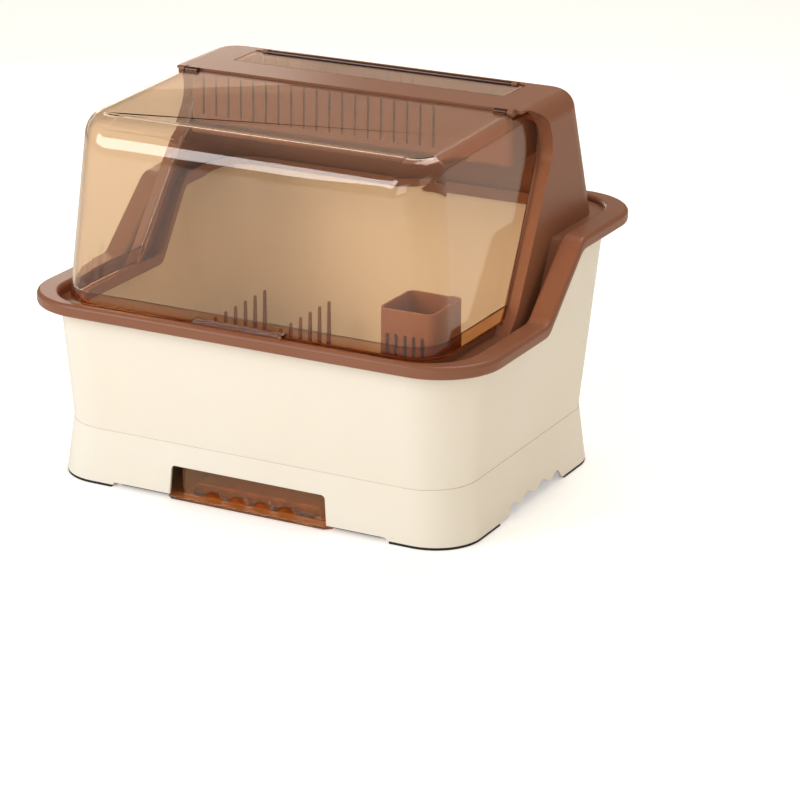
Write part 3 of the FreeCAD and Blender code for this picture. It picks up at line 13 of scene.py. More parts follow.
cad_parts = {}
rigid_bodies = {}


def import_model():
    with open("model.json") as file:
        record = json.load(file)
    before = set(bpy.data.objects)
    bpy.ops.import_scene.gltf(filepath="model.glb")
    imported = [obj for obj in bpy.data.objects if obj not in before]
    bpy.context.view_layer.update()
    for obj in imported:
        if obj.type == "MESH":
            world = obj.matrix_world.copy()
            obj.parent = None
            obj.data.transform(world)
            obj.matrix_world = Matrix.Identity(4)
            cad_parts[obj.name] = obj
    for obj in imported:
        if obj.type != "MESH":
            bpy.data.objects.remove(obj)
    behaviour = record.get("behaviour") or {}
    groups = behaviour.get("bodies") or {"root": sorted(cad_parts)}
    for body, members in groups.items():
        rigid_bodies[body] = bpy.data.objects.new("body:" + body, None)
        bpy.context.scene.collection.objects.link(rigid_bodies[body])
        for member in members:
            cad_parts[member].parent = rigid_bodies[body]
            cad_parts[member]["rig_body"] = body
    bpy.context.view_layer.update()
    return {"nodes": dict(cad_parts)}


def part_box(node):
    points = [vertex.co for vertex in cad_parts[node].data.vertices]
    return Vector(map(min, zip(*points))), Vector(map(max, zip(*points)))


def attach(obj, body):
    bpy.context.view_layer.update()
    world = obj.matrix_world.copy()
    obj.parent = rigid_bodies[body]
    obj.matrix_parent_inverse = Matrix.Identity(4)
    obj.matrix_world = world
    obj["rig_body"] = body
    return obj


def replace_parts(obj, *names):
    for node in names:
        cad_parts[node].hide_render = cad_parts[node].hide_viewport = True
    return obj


bl_info = {
    "name": "Dish Storage Cabinet",
    "version": (1, 0, 0),
    "blender": (4, 5, 0),
    "location": "3D View > Sidebar > Cabinet",
    "description": "Builds the moulded pieces, finishes and stage of a lidded dish storage cabinet",
    "category": "Object",
}

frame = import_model()

# A millimetre
MM = 0.001

# Tolerances, in metres: level with a place, one point of a loop, one vertex of a mesh
TINY = 0.00002
NEAR = 0.0003
WELD = 0.00001

# Turns between faces, in degrees: one flat face, an edge on a copied node, an edge on a new piece
FLAT_DEG = 0.2
SMOOTH_DEG = 32.0
SHARP_DEG = 40.0
# The turn of a block's own edges, in radians
CORNER_TURN = 1.2

# How far edges are broken, in metres: on mouldings, on racks and on plain blocks
EDGE_BREAK = 0.0005
RACK_BREAK = 0.0006
BLOCK_BREAK = 0.0005
# Steps over a moulding's edge, a block's edge, a rounded corner and a foot; sides of a round bar
EDGE_STEPS = 2
BLOCK_STEPS = 3
CORNER_STEPS = 6
FOOT_STEPS = 4
ROUND_SIDES = 32
# How far the large faces lead the shading, out of 100
FACE_LEAD = 100

# Moulded plastics: how they bend light, the flow's waves in a metre, the skin's depth in metres,
# how far its gloss varies, and how far light soaks in
PLASTIC_IOR = 1.49
FLOW_WAVES = 9.0
SKIN_DEEP = 0.0001
GLOSS_SPREAD = 0.05
SCATTER_REACH = (0.004, 0.003, 0.002)
# Clear plastics: the wall's waves in a metre, and how steeply seen it takes on its rim colour,
# partly a deeper tint along the longer path and partly painted shade for its dark outlines
RIPPLE_WAVES = 22.0
RIPPLE_BUMP = 0.012
RIPPLE_DEEP = 0.0004
GRAZE_FROM = 0.7
# The turning marks of ground steel, in a metre
MARK_WAVES = 2500.0

# The clear cover, in metres: its hem, its top, how its plan narrows and how its top falls
COVER_LOW = 0.174
COVER_TOP = 0.348
COVER_PLAN_TOP = 0.355
COVER_FALL = 6 / 183
COVER_HALF_LOW = 0.1895
COVER_HALF_TOP = 0.174
COVER_FRONT = -0.1708
COVER_LEAN = 0.007
COVER_CORNER_LOW = 0.032
COVER_CORNER_TOP = 0.038
SIDE_ROUND = 0.013
FRONT_ROUND = 0.033
HEM_EXTRA = 0.001
# Where its top ends at the hood, and the notches beside its knuckles
LIP_FRONT = 0.0192
TOP_END = 0.0176
NOTCH_IN = 0.1641
NOTCH_OUT = 0.171
NOTCH_FRONT = 0.0105
# What is filled on top: how far below its highest line, and how far in from the notches
TOP_REACH = 0.012
NOTCH_SLACK = 0.0005
# The rear edge of its sides, as places of Y and Z: a foot that bends, a straight run and a lobe
SEAM_FOOT = (-0.0435, 0.1654)
SEAM_TOP = (0.0805, 0.35)
FOOT_BEND = 0.009
FOOT_RUN = 1.753
LOBE_FROM = 0.297
LOBE_MIDDLE = (0.0189, 0.316)
LOBE_ROUND = 0.032
# Steps of its grid: along a side, round a corner, along half the front and up a wall
SIDE_RUN_STEPS = 14
TURN_STEPS = 20
FRONT_RUN_STEPS = 12
WALL_STEPS = 30
# The height of the hem's inner step, as a share of the wall's
HEM_STEP = 0.001
# Steps over its rounded top edge, in degrees; the close pairs make the notches' ends steep
ROUND_STEPS = (6, 12, 18, 24, 30, 36, 42, 47, 47.6, 54, 60, 66, 72, 78, 81, 81.6, 86, 90)

# The cover's lift tab and knuckles, in metres
TAB_BOX = ((-0.046, -0.181, 0.1765), (0.046, -0.1695, 0.1795))
TAB_ROUND = 0.005
TAB_STEPS = 8
TAB_BREAK = 0.0006
HINGE_AXIS = (0.0154, 0.348)
KNUCKLE_SPAN = (0.151, 0.1641)
KNUCKLE_ROUND = 0.0032
KNUCKLE_BORE = 0.00158
KNUCKLE_BREAK = 0.0004
BUMPER_ROUND = 0.001
BUMPER_BREAK = 0.0004

# Where the lid's hinge ridge starts, in metres from the middle
LID_RIDGE_FROM = 0.1

# The cutlery trough, in metres
TROUGH_CORNER = 0.006
TROUGH_FOOT = 0.003
TROUGH_PITCH = 0.0132
TROUGH_SLOT = 0.002
TROUGH_SLOT_UP = 0.0075
TROUGH_SLOT_DOWN = 0.005
TROUGH_SLOTS_FRONT = 19
TROUGH_SLOTS_REAR = 14
DIVIDER_IN = 0.063
DIVIDER_DROP = 0.008
EAR_WIDE = 0.009
EAR_DOWN = 0.0028
EAR_FRONT = 0.0724
EAR_LONG = 0.0332
EAR_TALL = 0.0024
EAR_CORNER = 0.002

# The drain board and its legs, in metres
BOARD_EDGE = 0.016
BOARD_CORNER = 0.038
BOARD_CORNER_STEPS = 10
BOARD_SLOT_STEPS = 4
LEG_WIDE = 0.008
LEG_IN = 0.014
LEG_CORNER = 0.002
LEG_OVERLAP = 0.001

# The racks, in metres: each node with its pegs in a row and its rows
RACKS = (("plate_rack_front", 7, 2), ("plate_rack_rear", 7, 2), ("bowl_rack", 4, 3))
RACK_BAR = 0.005
RACK_CORNER = 0.004
RACK_INNER = 0.002
RUNG_IN = 0.0002
RUNG_BREAK = 0.0006
PEG_SUNK = 0.002
PEG_SIDES = 14
PEG_DOME = 0.95
PEG_DOME_STEPS = 4

# The cutlery holder, in metres
HOLDER_CORNER = 0.008
HOLDER_FOOT = 0.004
HOLDER_SLOT_IN = 0.022
HOLDER_SLOT_FROM = 0.008
HOLDER_SLOT = 0.003
HOLDER_PITCH = 0.0082
HOLDER_SLOTS = 5

# The floor: half of its side in metres, its glow to the camera and its roughness
FLOOR_HALF = 6.0
FLOOR_GLOW = 0.38
FLOOR_ROUGHNESS = 0.9
# The room's brightness, as light and as what gloss reflects
ROOM_LIGHT = 0.52
ROOM_GLOSS = 0.2
# The camera's sensor in millimetres, and how far it sees in metres
SENSOR_MM = 36.0
VIEW_END = 50.0
# Soft boxes: name, place, the point it faces, sides in metres, power in watts and colour
LAMPS = (
    ("key", (-1.5, -1.9, 1.5), (0, 0, 0.15), (1.2, 1.2), 29.0, "#F1F7FF"),
    ("front", (0.25, -2.7, 0.95), (0, 0, 0.2), (1.3, 1.3), 11.2, "#F6F8FF"),
    ("fill", (2.2, -0.9, 1.0), (0, 0, 0.15), (1.4, 1.4), 6.0, "#FFF0DD"),
    ("rear", (0.2, 0.9, 2.2), (0, 0, 0.25), (1.2, 1.2), 16.0, "#FFFFFF"),
    ("sheen", (-1.5, 2.6, 1.0), (0, 0, 0.34), (1.7, 0.6), 1.7, "#FFE6D0"),
    ("left_sheen", (-1.0, 1.15, 0.52), (-0.2, 0.1, 0.34), (0.6, 0.3), 2.2, "#FFF6EA"),
)


class CabinetSizes(bpy.types.PropertyGroup):
    """Sizes that a user would change."""
    cover_wall: FloatProperty(name="Cover wall", description="Thickness of the clear cover",
                              default=0.0025, min=0.0005, precision=4, unit="LENGTH")
    hem_tall: FloatProperty(name="Hem height", description="Height of the cover's thick hem",
                            default=0.013, min=0.001, precision=4, unit="LENGTH")
    trough_wall: FloatProperty(name="Trough wall", description="Thickness of the cutlery trough",
                               default=0.0025, min=0.0005, precision=4, unit="LENGTH")
    board_thick: FloatProperty(name="Board thickness", description="Thickness of the drain board",
                               default=0.0025, min=0.0005, precision=4, unit="LENGTH")
    board_slots: IntProperty(name="Board slots", description="Slots across the drain board",
                             default=23, min=1)
    board_pitch: FloatProperty(name="Board pitch", description="From slot to slot of the board",
                               default=0.015, min=0.001, precision=4, unit="LENGTH")
    board_slot: FloatProperty(name="Board slot", description="Width of a slot of the board",
                              default=0.005, min=0.001, precision=4, unit="LENGTH")
    peg_foot: FloatProperty(name="Peg foot", description="Radius of a rack's peg at its foot",
                            default=0.0023, min=0.0005, precision=4, unit="LENGTH")
    peg_tip: FloatProperty(name="Peg tip", description="Radius of a rack's peg at its tip",
                           default=0.0016, min=0.0005, precision=4, unit="LENGTH")
    holder_wall: FloatProperty(name="Holder wall", description="Thickness of the cutlery holder",
                               default=0.0022, min=0.0005, precision=4, unit="LENGTH")


class CabinetLook(bpy.types.PropertyGroup):
    """Colours that a user would change."""
    cream: StringProperty(name="Cream", description="Colour of the tub and base",
                          default="#FAF5E9")
    brown: StringProperty(name="Brown", description="Colour of the hood frame", default="#966348")
    cover: StringProperty(name="Cover", description="Tint that the cover takes on along its wall",
                          default="#D9A066")
    cover_tint: FloatProperty(name="Cover tint", description="How soon the wall takes on its tint",
                              default=70.0, min=0.0)
    amber: StringProperty(name="Amber", description="Tint of the drip tray", default="#A66630")


class CabinetStage(bpy.types.PropertyGroup):
    """Where the camera stands and how it frames the cabinet."""
    azimuth: FloatProperty(name="Azimuth", description="Camera's turn from the front to the right",
                           default=math.radians(28.398), subtype="ANGLE")
    elevation: FloatProperty(name="Elevation", description="Camera's height over the horizon",
                             default=math.radians(17.785), subtype="ANGLE")
    roll: FloatProperty(name="Roll", description="Camera's turn about its line of sight",
                        default=math.radians(0.145), subtype="ANGLE")
    distance: FloatProperty(name="Distance", description="Camera to the point it looks at",
                            default=2.9831, unit="LENGTH")
    target: FloatVectorProperty(name="Target", description="The point that the camera looks at",
                                default=(0.00975, -0.01179, 0.16434), subtype="XYZ")
    lens: FloatProperty(name="Lens", description="Focal length on a 36 mm sensor", default=147.88,
                        min=1.0)
    shift: FloatVectorProperty(name="Shift", description="Sideways and upward shift of the picture",
                               size=2, default=(0.0782, -0.1317))


def linear(code):
    """The linear colour of an sRGB hex value."""
    parts = [int(code[i:i + 2], 16) / 255 for i in (1, 3, 5)]
    plain = [p / 12.92 if p <= 0.04045 else ((p + 0.055) / 1.055) ** 2.4 for p in parts]
    return tuple(plain) + (1.0,)


def exact(size):
    """A size as it was typed, because a property keeps only its nearest single-precision value."""
    return round(size, 6)


# Materials

def add(tree, kind, links=(), sockets=(), **settings):
    """Adds a node with its settings, its socket values and its incoming links."""
    node = tree.nodes.new(kind)
    for name, value in settings.items():
        setattr(node, name, value)
    for name, value in dict(sockets).items():
        node.inputs[name].default_value = value
    for name, source in dict(links).items():
        tree.links.new(source, node.inputs[name])
    return node


def start(name):
    """A material with a Principled shader and its output, and no other node."""
    material = bpy.data.materials.new(name)
    material.use_nodes = True
    tree = material.node_tree
    tree.nodes.clear()
    shader = tree.nodes.new("ShaderNodeBsdfPrincipled")
    output = tree.nodes.new("ShaderNodeOutputMaterial")
    tree.links.new(shader.outputs[0], output.inputs["Surface"])
    return material, tree, shader, output


def moulded(name, colour, deep, roughness, grain_mm, bump, scatter=0.0, gleam=0.5):
    """Opaque moulded plastic: colour and gloss vary faintly with the flow, under a fine skin."""
    material, tree, shader, output = start(name)
    place = add(tree, "ShaderNodeTexCoord").outputs["Object"]
    flow = add(tree, "ShaderNodeTexNoise", {"Vector": place}, {"Scale": FLOW_WAVES, "Detail": 3.0})
    tint = add(tree, "ShaderNodeMix", {"Factor": flow.outputs[0]}, data_type="RGBA")
    tint.inputs[6].default_value = linear(colour)
    tint.inputs[7].default_value = linear(deep)
    skin = add(tree, "ShaderNodeTexNoise", {"Vector": place},
               {"Scale": 1 / (grain_mm * MM), "Detail": 2.0})
    gloss = add(tree, "ShaderNodeMapRange", {"Value": skin.outputs[0]},
                {"To Min": roughness - GLOSS_SPREAD, "To Max": roughness + GLOSS_SPREAD})
    relief = add(tree, "ShaderNodeBump", {"Height": skin.outputs[0]},
                 {"Strength": bump, "Distance": SKIN_DEEP})
    tree.links.new(tint.outputs[2], shader.inputs["Base Color"])
    tree.links.new(gloss.outputs[0], shader.inputs["Roughness"])
    tree.links.new(relief.outputs[0], shader.inputs["Normal"])
    shader.inputs["IOR"].default_value = PLASTIC_IOR
    shader.inputs["Specular IOR Level"].default_value = gleam
    if scatter:
        shader.inputs["Subsurface Weight"].default_value = scatter
        shader.inputs["Subsurface Radius"].default_value = SCATTER_REACH
        shader.inputs["Subsurface Scale"].default_value = 1.0
    return material


def see_through(name, colour, rim, roughness, tint, density, cloud=0.0, gleam=0.5, through=""):
    """Clear plastic: grazing walls show the rim colour, and long paths take on the tint. The rim
    colour is partly the deeper tint of the longer path and partly painted shade that darkens the
    outlines.

    Its shadow is tinted light, in the colour or in the one given as through.
    """
    material, tree, shader, output = start(name)
    # Edge-on walls darken towards the rim colour: partly the longer path's tint, partly painted
    # shade for the dark outlines.
    graze = add(tree, "ShaderNodeLayerWeight", sockets={"Blend": 0.5}).outputs["Facing"]
    edge_on_shade_mask = add(tree, "ShaderNodeMapRange", {"Value": graze},
                   {"From Min": GRAZE_FROM, "From Max": 1.0}, interpolation_type="SMOOTHSTEP")
    shade = add(tree, "ShaderNodeMix", {"Factor": edge_on_shade_mask.outputs[0]}, data_type="RGBA")
    shade.inputs[6].default_value = linear(colour)
    shade.inputs[7].default_value = linear(rim)
    tree.links.new(shade.outputs[2], shader.inputs["Base Color"])
    place = add(tree, "ShaderNodeTexCoord").outputs["Object"]
    ripple = add(tree, "ShaderNodeTexNoise", {"Vector": place},
                 {"Scale": RIPPLE_WAVES, "Detail": 1.0})
    relief = add(tree, "ShaderNodeBump", {"Height": ripple.outputs[0]},
                 {"Strength": RIPPLE_BUMP, "Distance": RIPPLE_DEEP})
    tree.links.new(relief.outputs[0], shader.inputs["Normal"])
    shader.inputs["Transmission Weight"].default_value = 1.0 - cloud
    shader.inputs["Roughness"].default_value = roughness
    shader.inputs["IOR"].default_value = PLASTIC_IOR
    shader.inputs["Specular IOR Level"].default_value = gleam
    clear = add(tree, "ShaderNodeBsdfTransparent", sockets={"Color": linear(through or colour)})
    shadow = add(tree, "ShaderNodeLightPath").outputs["Is Shadow Ray"]
    mix = add(tree, "ShaderNodeMixShader", {0: shadow, 1: shader.outputs[0], 2: clear.outputs[0]})
    tree.links.new(mix.outputs[0], output.inputs["Surface"])
    body = add(tree, "ShaderNodeVolumeAbsorption",
               sockets={"Color": linear(tint), "Density": density})
    tree.links.new(body.outputs[0], output.inputs["Volume"])
    return material


def polypropylene_cream(look):
    """Injection-moulded polypropylene: satin and slightly waxy, so light soaks in a little."""
    return moulded("polypropylene_cream", look.cream, "#F7EEDD", 0.25, 0.9, 0.05, scatter=0.08)


def polypropylene_cocoa(look):
    """The same plastic dyed brown, with a fine satin skin that spreads highlights."""
    return moulded("polypropylene_cocoa", look.brown, "#8A5840", 0.36, 0.7, 0.08, gleam=0.38)


def polypropylene_pale(look):
    """Undyed moulded plastic of the inner board, a touch paler and duller than the tub."""
    return moulded("polypropylene_pale", look.cream, "#E4D3B4", 0.42, 0.8, 0.08, scatter=0.06)


def styrene_clear(look):
    """Clear styrene-acrylonitrile: sharp gloss, and amber where the eye looks along the wall."""
    return see_through("styrene_clear", "#FCF2E0", "#80552E", 0.012, look.cover, look.cover_tint)


def styrene_hem(look):
    """The clear plastic where it is moulded thicker along the hem: a deeper amber band."""
    return see_through("styrene_hem", "#DBAE80", "#7E5638", 0.02, look.cover, look.cover_tint)


def styrene_edge_tint_and_shade(look):
    """The same clear plastic at its cut edges, where the eye looks along the wall, as an opaque
    dark amber: partly its deeper tint along the wall, partly painted shade.
    """
    return moulded("styrene_edge_tint_and_shade", "#5B3216", "#4A2710", 0.12, 1.5, 0.02)


def styrene_smoked(look):
    """Smoked clear plastic: brown and glossy, and the trough still shows through."""
    return see_through("styrene_smoked", "#DDB592", "#7E5638", 0.04, "#8A5A3C", 30.0, gleam=0.12,
                       through="#FBEBDA")


def styrene_amber(look):
    """Deep amber clear plastic of the tray, darker where walls lie behind each other."""
    return see_through("styrene_amber", "#E9B57A", "#A0683A", 0.06, look.amber, 30.0, cloud=0.1)


def rubber_black(look):
    """Black thermoplastic rubber: dull, with a soft grey sheen."""
    return moulded("rubber_black", "#1B1715", "#26201D", 0.7, 0.5, 0.2)


def steel_ground(look):
    """Ground steel wire of the hinge pins: fine turning marks blur its reflections."""
    material, tree, shader, output = start("steel_ground")
    place = add(tree, "ShaderNodeTexCoord").outputs["Object"]
    marks = add(tree, "ShaderNodeTexNoise", {"Vector": place},
                {"Scale": MARK_WAVES, "Detail": 1.0})
    gloss = add(tree, "ShaderNodeMapRange", {"Value": marks.outputs[0]},
                {"To Min": 0.22, "To Max": 0.4})
    tree.links.new(gloss.outputs[0], shader.inputs["Roughness"])
    shader.inputs["Base Color"].default_value = linear("#B9B5AE")
    shader.inputs["Metallic"].default_value = 1.0
    return material


def finish(make, look):
    """The material that one of the functions above makes, made once and named after it."""
    return bpy.data.materials.get(make.__name__) or make(look)


# Pieces

def soften(piece, soft):
    """Breaks the crisp edges and lets the large faces lead the shading."""
    if soft:
        broken = piece.modifiers.new("soft", "BEVEL")
        broken.width = soft
        broken.segments = EDGE_STEPS
        broken.limit_method = "ANGLE"
        broken.angle_limit = math.radians(SHARP_DEG)
        broken.use_clamp_overlap = True
    weighted = piece.modifiers.new("weighted", "WEIGHTED_NORMAL")
    weighted.mode = "FACE_AREA"
    weighted.weight = FACE_LEAD
    weighted.keep_sharp = True


def solid_from(name, shape, materials, wall=0.0, soft=0.0, smooth_deg=SHARP_DEG):
    """An object from a bmesh: its wall, its broken edges and its finishes."""
    bmesh.ops.recalc_face_normals(shape, faces=shape.faces)
    mesh = bpy.data.meshes.new(name)
    shape.to_mesh(mesh)
    shape.free()
    for material in materials:
        mesh.materials.append(material)
    mesh.shade_smooth()
    mesh.set_sharp_from_angle(angle=math.radians(smooth_deg))
    piece = bpy.data.objects.new(name, mesh)
    bpy.context.scene.collection.objects.link(piece)
    if wall:
        solid = piece.modifiers.new("wall", "SOLIDIFY")
        solid.thickness = wall
        solid.offset = -1.0
        solid.use_even_offset = True
    soften(piece, soft)
    return piece


def made(name, shape, materials, body, wall=0.0, soft=0.0):
    """A new piece from a bmesh, with the body that it rides on."""
    piece = solid_from(name, shape, materials, wall, soft)
    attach(piece, body)
    return piece


def stand_for(node, name, material):
    """Replaces a CAD node by a copy of it as one connected mesh, in a finish."""
    source = frame["nodes"][node]
    shape = bmesh.new()
    shape.from_mesh(source.data)
    bmesh.ops.remove_doubles(shape, verts=shape.verts, dist=WELD)
    bmesh.ops.dissolve_degenerate(shape, edges=shape.edges, dist=WELD)
    bmesh.ops.dissolve_limit(shape, angle_limit=math.radians(FLAT_DEG), verts=shape.verts,
                             edges=shape.edges, use_dissolve_boundaries=False, delimit={"NORMAL"})
    piece = solid_from(name, shape, (material,), soft=EDGE_BREAK, smooth_deg=SMOOTH_DEG)
    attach(piece, source["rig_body"])
    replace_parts(piece, node)
    return piece


def edges_of(verts):
    """The edges at some vertices, each once."""
    return list(dict.fromkeys(e for v in verts for e in v.link_edges))


def bevel(shape, edges, offset, segments):
    """Rounds edges and gives back the new faces."""
    return bmesh.ops.bevel(shape, geom=list(edges), offset=offset, segments=segments, profile=0.5,
                           affect="EDGES", material=-1)["faces"]


def stretched(shape, low, high):
    """A cube stretched from one corner to the other; gives back its edges."""
    fresh = bmesh.ops.create_cube(shape, size=1.0)["verts"]
    for vert in fresh:
        vert.co = Vector(tuple(high[i] if vert.co[i] > 0 else low[i] for i in range(3)))
    return edges_of(fresh)


def upright(edges, low, high):
    """The edges that climb from low to high."""
    half = (high[2] - low[2]) / 2
    return [e for e in edges if abs(e.verts[0].co.z - e.verts[1].co.z) > half]


def block(shape, low, high, corner=0.0, soft=BLOCK_BREAK):
    """A block with rounded upright corners and broken edges."""
    edges = stretched(shape, low, high)
    if corner:
        rounded = bevel(shape, upright(edges, low, high), corner, CORNER_STEPS)
        edges = edges_of(v for f in rounded for v in f.verts)
    bevel(shape, [e for e in edges if e.calc_face_angle(0) > CORNER_TURN], soft, BLOCK_STEPS)


def rounded_loop(shape, low, high, corner, height, steps=CORNER_STEPS, stops=()):
    """A closed loop of edges round a rectangle with rounded corners; stops are points along X."""
    left, front, right, rear = low[0], low[1], high[0], high[1]
    quarters = (((right - corner, front + corner), -90), ((right - corner, rear - corner), 0),
                ((left + corner, rear - corner), 90), ((left + corner, front + corner), 180))
    places = [(x, front) for x in sorted(stops)]
    for middle, start_turn in quarters:
        for i in range(steps + 1):
            turn = math.radians(start_turn + 90 * i / steps)
            places.append((middle[0] + corner * math.cos(turn),
                           middle[1] + corner * math.sin(turn)))
        if start_turn == 0:
            places += [(x, rear) for x in sorted(stops, reverse=True)]
    places = [p for i, p in enumerate(places) if math.dist(p, places[i - 1]) > NEAR]
    verts = [shape.verts.new((x, y, height)) for x, y in places]
    return [shape.edges.new((verts[i - 1], verts[i])) for i in range(len(verts))]


def raise_walls(shape, edges, heights):
    """Extrudes a loop upwards from height to height."""
    for height in heights:
        fresh = bmesh.ops.extrude_edge_only(shape, edges=edges)["geom"]
        edges = [e for e in fresh if isinstance(e, bmesh.types.BMEdge)]
        for vert in {v for e in edges for v in e.verts}:
            vert.co.z = height


def slotted_tub(low, high, corner, slots_low, slots_high, walls, foot_round):
    """An open box as a thin sheet, with upright slots between pairs of places in two walls."""
    shape = bmesh.new()
    stops = {x for pairs in walls.values() for pair in pairs for x in pair}
    loop = rounded_loop(shape, low, high, corner, low[2], stops=stops)
    raise_walls(shape, loop, (slots_low, slots_high, high[2]))
    gone = []
    for face in shape.faces:
        centre = face.calc_center_median()
        if not slots_low < centre.z < slots_high:
            continue
        for y, pairs in walls.items():
            if abs(centre.y - y) < TINY and any(near < centre.x < far for near, far in pairs):
                gone.append(face)
    bmesh.ops.delete(shape, geom=gone, context="FACES")
    bottom = [e for e in shape.edges
              if e.is_boundary and all(abs(v.co.z - low[2]) < TINY for v in e.verts)]
    floor = bmesh.ops.contextual_create(shape, geom=bottom)["faces"]
    bevel(shape, [e for f in floor for e in f.edges], foot_round, FOOT_STEPS)
    return shape


def slotted_plate(low, high, corner, holes, hole_round):
    """A flat sheet with rounded corners and round-ended slots."""
    shape = bmesh.new()
    edges = rounded_loop(shape, low, high, corner, high[2], BOARD_CORNER_STEPS)
    for near, far in holes:
        edges += rounded_loop(shape, near, far, hole_round, high[2], BOARD_SLOT_STEPS)
    bmesh.ops.triangle_fill(shape, use_beauty=True, edges=edges)
    return shape


def peg(shape, x, y, low, high, foot, tip):
    """A tapered round peg with a domed tip."""
    place = Matrix.Translation((x, y, low + (high - low) / 2))
    fresh = bmesh.ops.create_cone(shape, cap_ends=True, segments=PEG_SIDES, radius1=foot,
                                  radius2=tip, depth=high - low, matrix=place)["verts"]
    rim = [e for e in edges_of(fresh) if all(abs(v.co.z - high) < TINY for v in e.verts)]
    bevel(shape, rim, tip * PEG_DOME, PEG_DOME_STEPS)


def frame_ring(shape, low, high, bar, corner, inner):
    """A flat rectangular frame of square bars with rounded corners."""
    edges = rounded_loop(shape, low, high, corner, low[2])
    near, far = (low[0] + bar, low[1] + bar), (high[0] - bar, high[1] - bar)
    edges += rounded_loop(shape, near, far, inner, low[2])
    flat = bmesh.ops.bridge_loops(shape, edges=edges)["faces"]
    raised = bmesh.ops.extrude_face_region(shape, geom=flat)["geom"]
    lifted = [v for v in raised if isinstance(v, bmesh.types.BMVert)]
    bmesh.ops.translate(shape, vec=(0, 0, high[2] - low[2]), verts=lifted)


def hinge_pin(node, name, material):
    """A steel pin along X with chamfered ends, in place of a CAD pin."""
    low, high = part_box(node)
    middle = [(low[i] + high[i]) / 2 for i in range(3)]
    radius = (high[2] - low[2]) / 2
    lying = Matrix.Translation(middle) @ Matrix.Rotation(math.pi / 2, 4, "Y")
    shape = bmesh.new()
    fresh = bmesh.ops.create_cone(shape, cap_ends=True, segments=ROUND_SIDES, radius1=radius,
                                  radius2=radius, depth=high[0] - low[0], matrix=lying)["verts"]
    ends = [e for e in edges_of(fresh) if abs(e.verts[0].co.x - e.verts[1].co.x) < TINY]
    bevel(shape, ends, radius / 4, EDGE_STEPS)
    pin = made(name, shape, (material,), frame["nodes"][node]["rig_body"])
    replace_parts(pin, node)


class CABINET_OT_stage(bpy.types.Operator):
    """Floor, lamps, world and camera"""
    bl_idname = "cabinet.stage"
    bl_label = "Stage"

    def execute(self, context):
        self.floor(context)
        for lamp in LAMPS:
            self.lamp(context, *lamp)
        self.world(context)
        self.camera(context, context.scene.cabinet_stage)
        return {"FINISHED"}

    def floor(self, context):
        """Pale paper that keeps the shadow; the camera sees a little more light on it."""
        paper, tree, shader, output = start("paper_floor")
        shader.inputs["Base Color"].default_value = linear("#F9F6F2")
        shader.inputs["Roughness"].default_value = FLOOR_ROUGHNESS
        seen = add(tree, "ShaderNodeLightPath").outputs["Is Camera Ray"]
        glow = add(tree, "ShaderNodeEmission",
                   sockets={"Color": (1, 1, 1, 1), "Strength": FLOOR_GLOW})
        none = add(tree, "ShaderNodeEmission", sockets={"Strength": 0.0})
        pick = add(tree, "ShaderNodeMixShader", {0: seen, 1: none.outputs[0], 2: glow.outputs[0]})
        both = add(tree, "ShaderNodeAddShader", {0: shader.outputs[0], 1: pick.outputs[0]})
        tree.links.new(both.outputs[0], output.inputs["Surface"])
        shape = bmesh.new()
        bmesh.ops.create_grid(shape, x_segments=1, y_segments=1, size=FLOOR_HALF)
        mesh = bpy.data.meshes.new("floor")
        shape.to_mesh(mesh)
        shape.free()
        mesh.materials.append(paper)
        floor = bpy.data.objects.new("floor", mesh)
        context.scene.collection.objects.link(floor)

    def lamp(self, context, name, place, target, sides, power, colour):
        """A soft box that faces a point."""
        data = bpy.data.lights.new(name, "AREA")
        data.shape = "RECTANGLE"
        data.size, data.size_y = sides
        data.energy = power
        data.color = linear(colour)[:3]
        lamp = bpy.data.objects.new(name, data)
        lamp.location = place
        aim = Vector(target) - Vector(place)
        lamp.rotation_euler = aim.to_track_quat("-Z", "Y").to_euler()
        context.scene.collection.objects.link(lamp)

    def world(self, context):
        """Pale surroundings, dim in reflections; the camera and clear plastic see plain white."""
        world = bpy.data.worlds.new("studio")
        world.use_nodes = True
        tree = world.node_tree
        tree.nodes.clear()
        path = add(tree, "ShaderNodeLightPath")
        seen = add(tree, "ShaderNodeMath",
                   {0: path.outputs["Is Camera Ray"], 1: path.outputs["Is Transmission Ray"]},
                   operation="MAXIMUM")
        room = add(tree, "ShaderNodeBackground",
                   sockets={"Color": linear("#F7EDDD"), "Strength": ROOM_LIGHT})
        dim = add(tree, "ShaderNodeBackground",
                  sockets={"Color": linear("#F2DFC8"), "Strength": ROOM_GLOSS})
        gloss = add(tree, "ShaderNodeMixShader",
                    {0: path.outputs["Is Glossy Ray"], 1: room.outputs[0], 2: dim.outputs[0]})
        white = add(tree, "ShaderNodeBackground",
                    sockets={"Color": (1, 1, 1, 1), "Strength": 1.0})
        mix = add(tree, "ShaderNodeMixShader",
                  {0: seen.outputs[0], 1: gloss.outputs[0], 2: white.outputs[0]})
        add(tree, "ShaderNodeOutputWorld", {"Surface": mix.outputs[0]})
        context.scene.world = world

    def camera(self, context, stage):
        """The camera at the photograph's angle."""
        flat = math.cos(stage.elevation)
        back = Vector((math.sin(stage.azimuth) * flat, -math.cos(stage.azimuth) * flat,
                       math.sin(stage.elevation)))
        data = bpy.data.cameras.new("camera")
        data.lens = stage.lens
        data.sensor_width = SENSOR_MM
        data.shift_x, data.shift_y = stage.shift
        data.clip_end = VIEW_END
        camera = bpy.data.objects.new("camera", data)
        turn = back.to_track_quat("Z", "Y").to_matrix() @ Matrix.Rotation(stage.roll, 3, "Z")
        place = Matrix.Translation(Vector(stage.target) + back * stage.distance)
        camera.matrix_world = place @ turn.to_4x4()
        context.scene.collection.objects.link(camera)
        context.scene.camera = camera


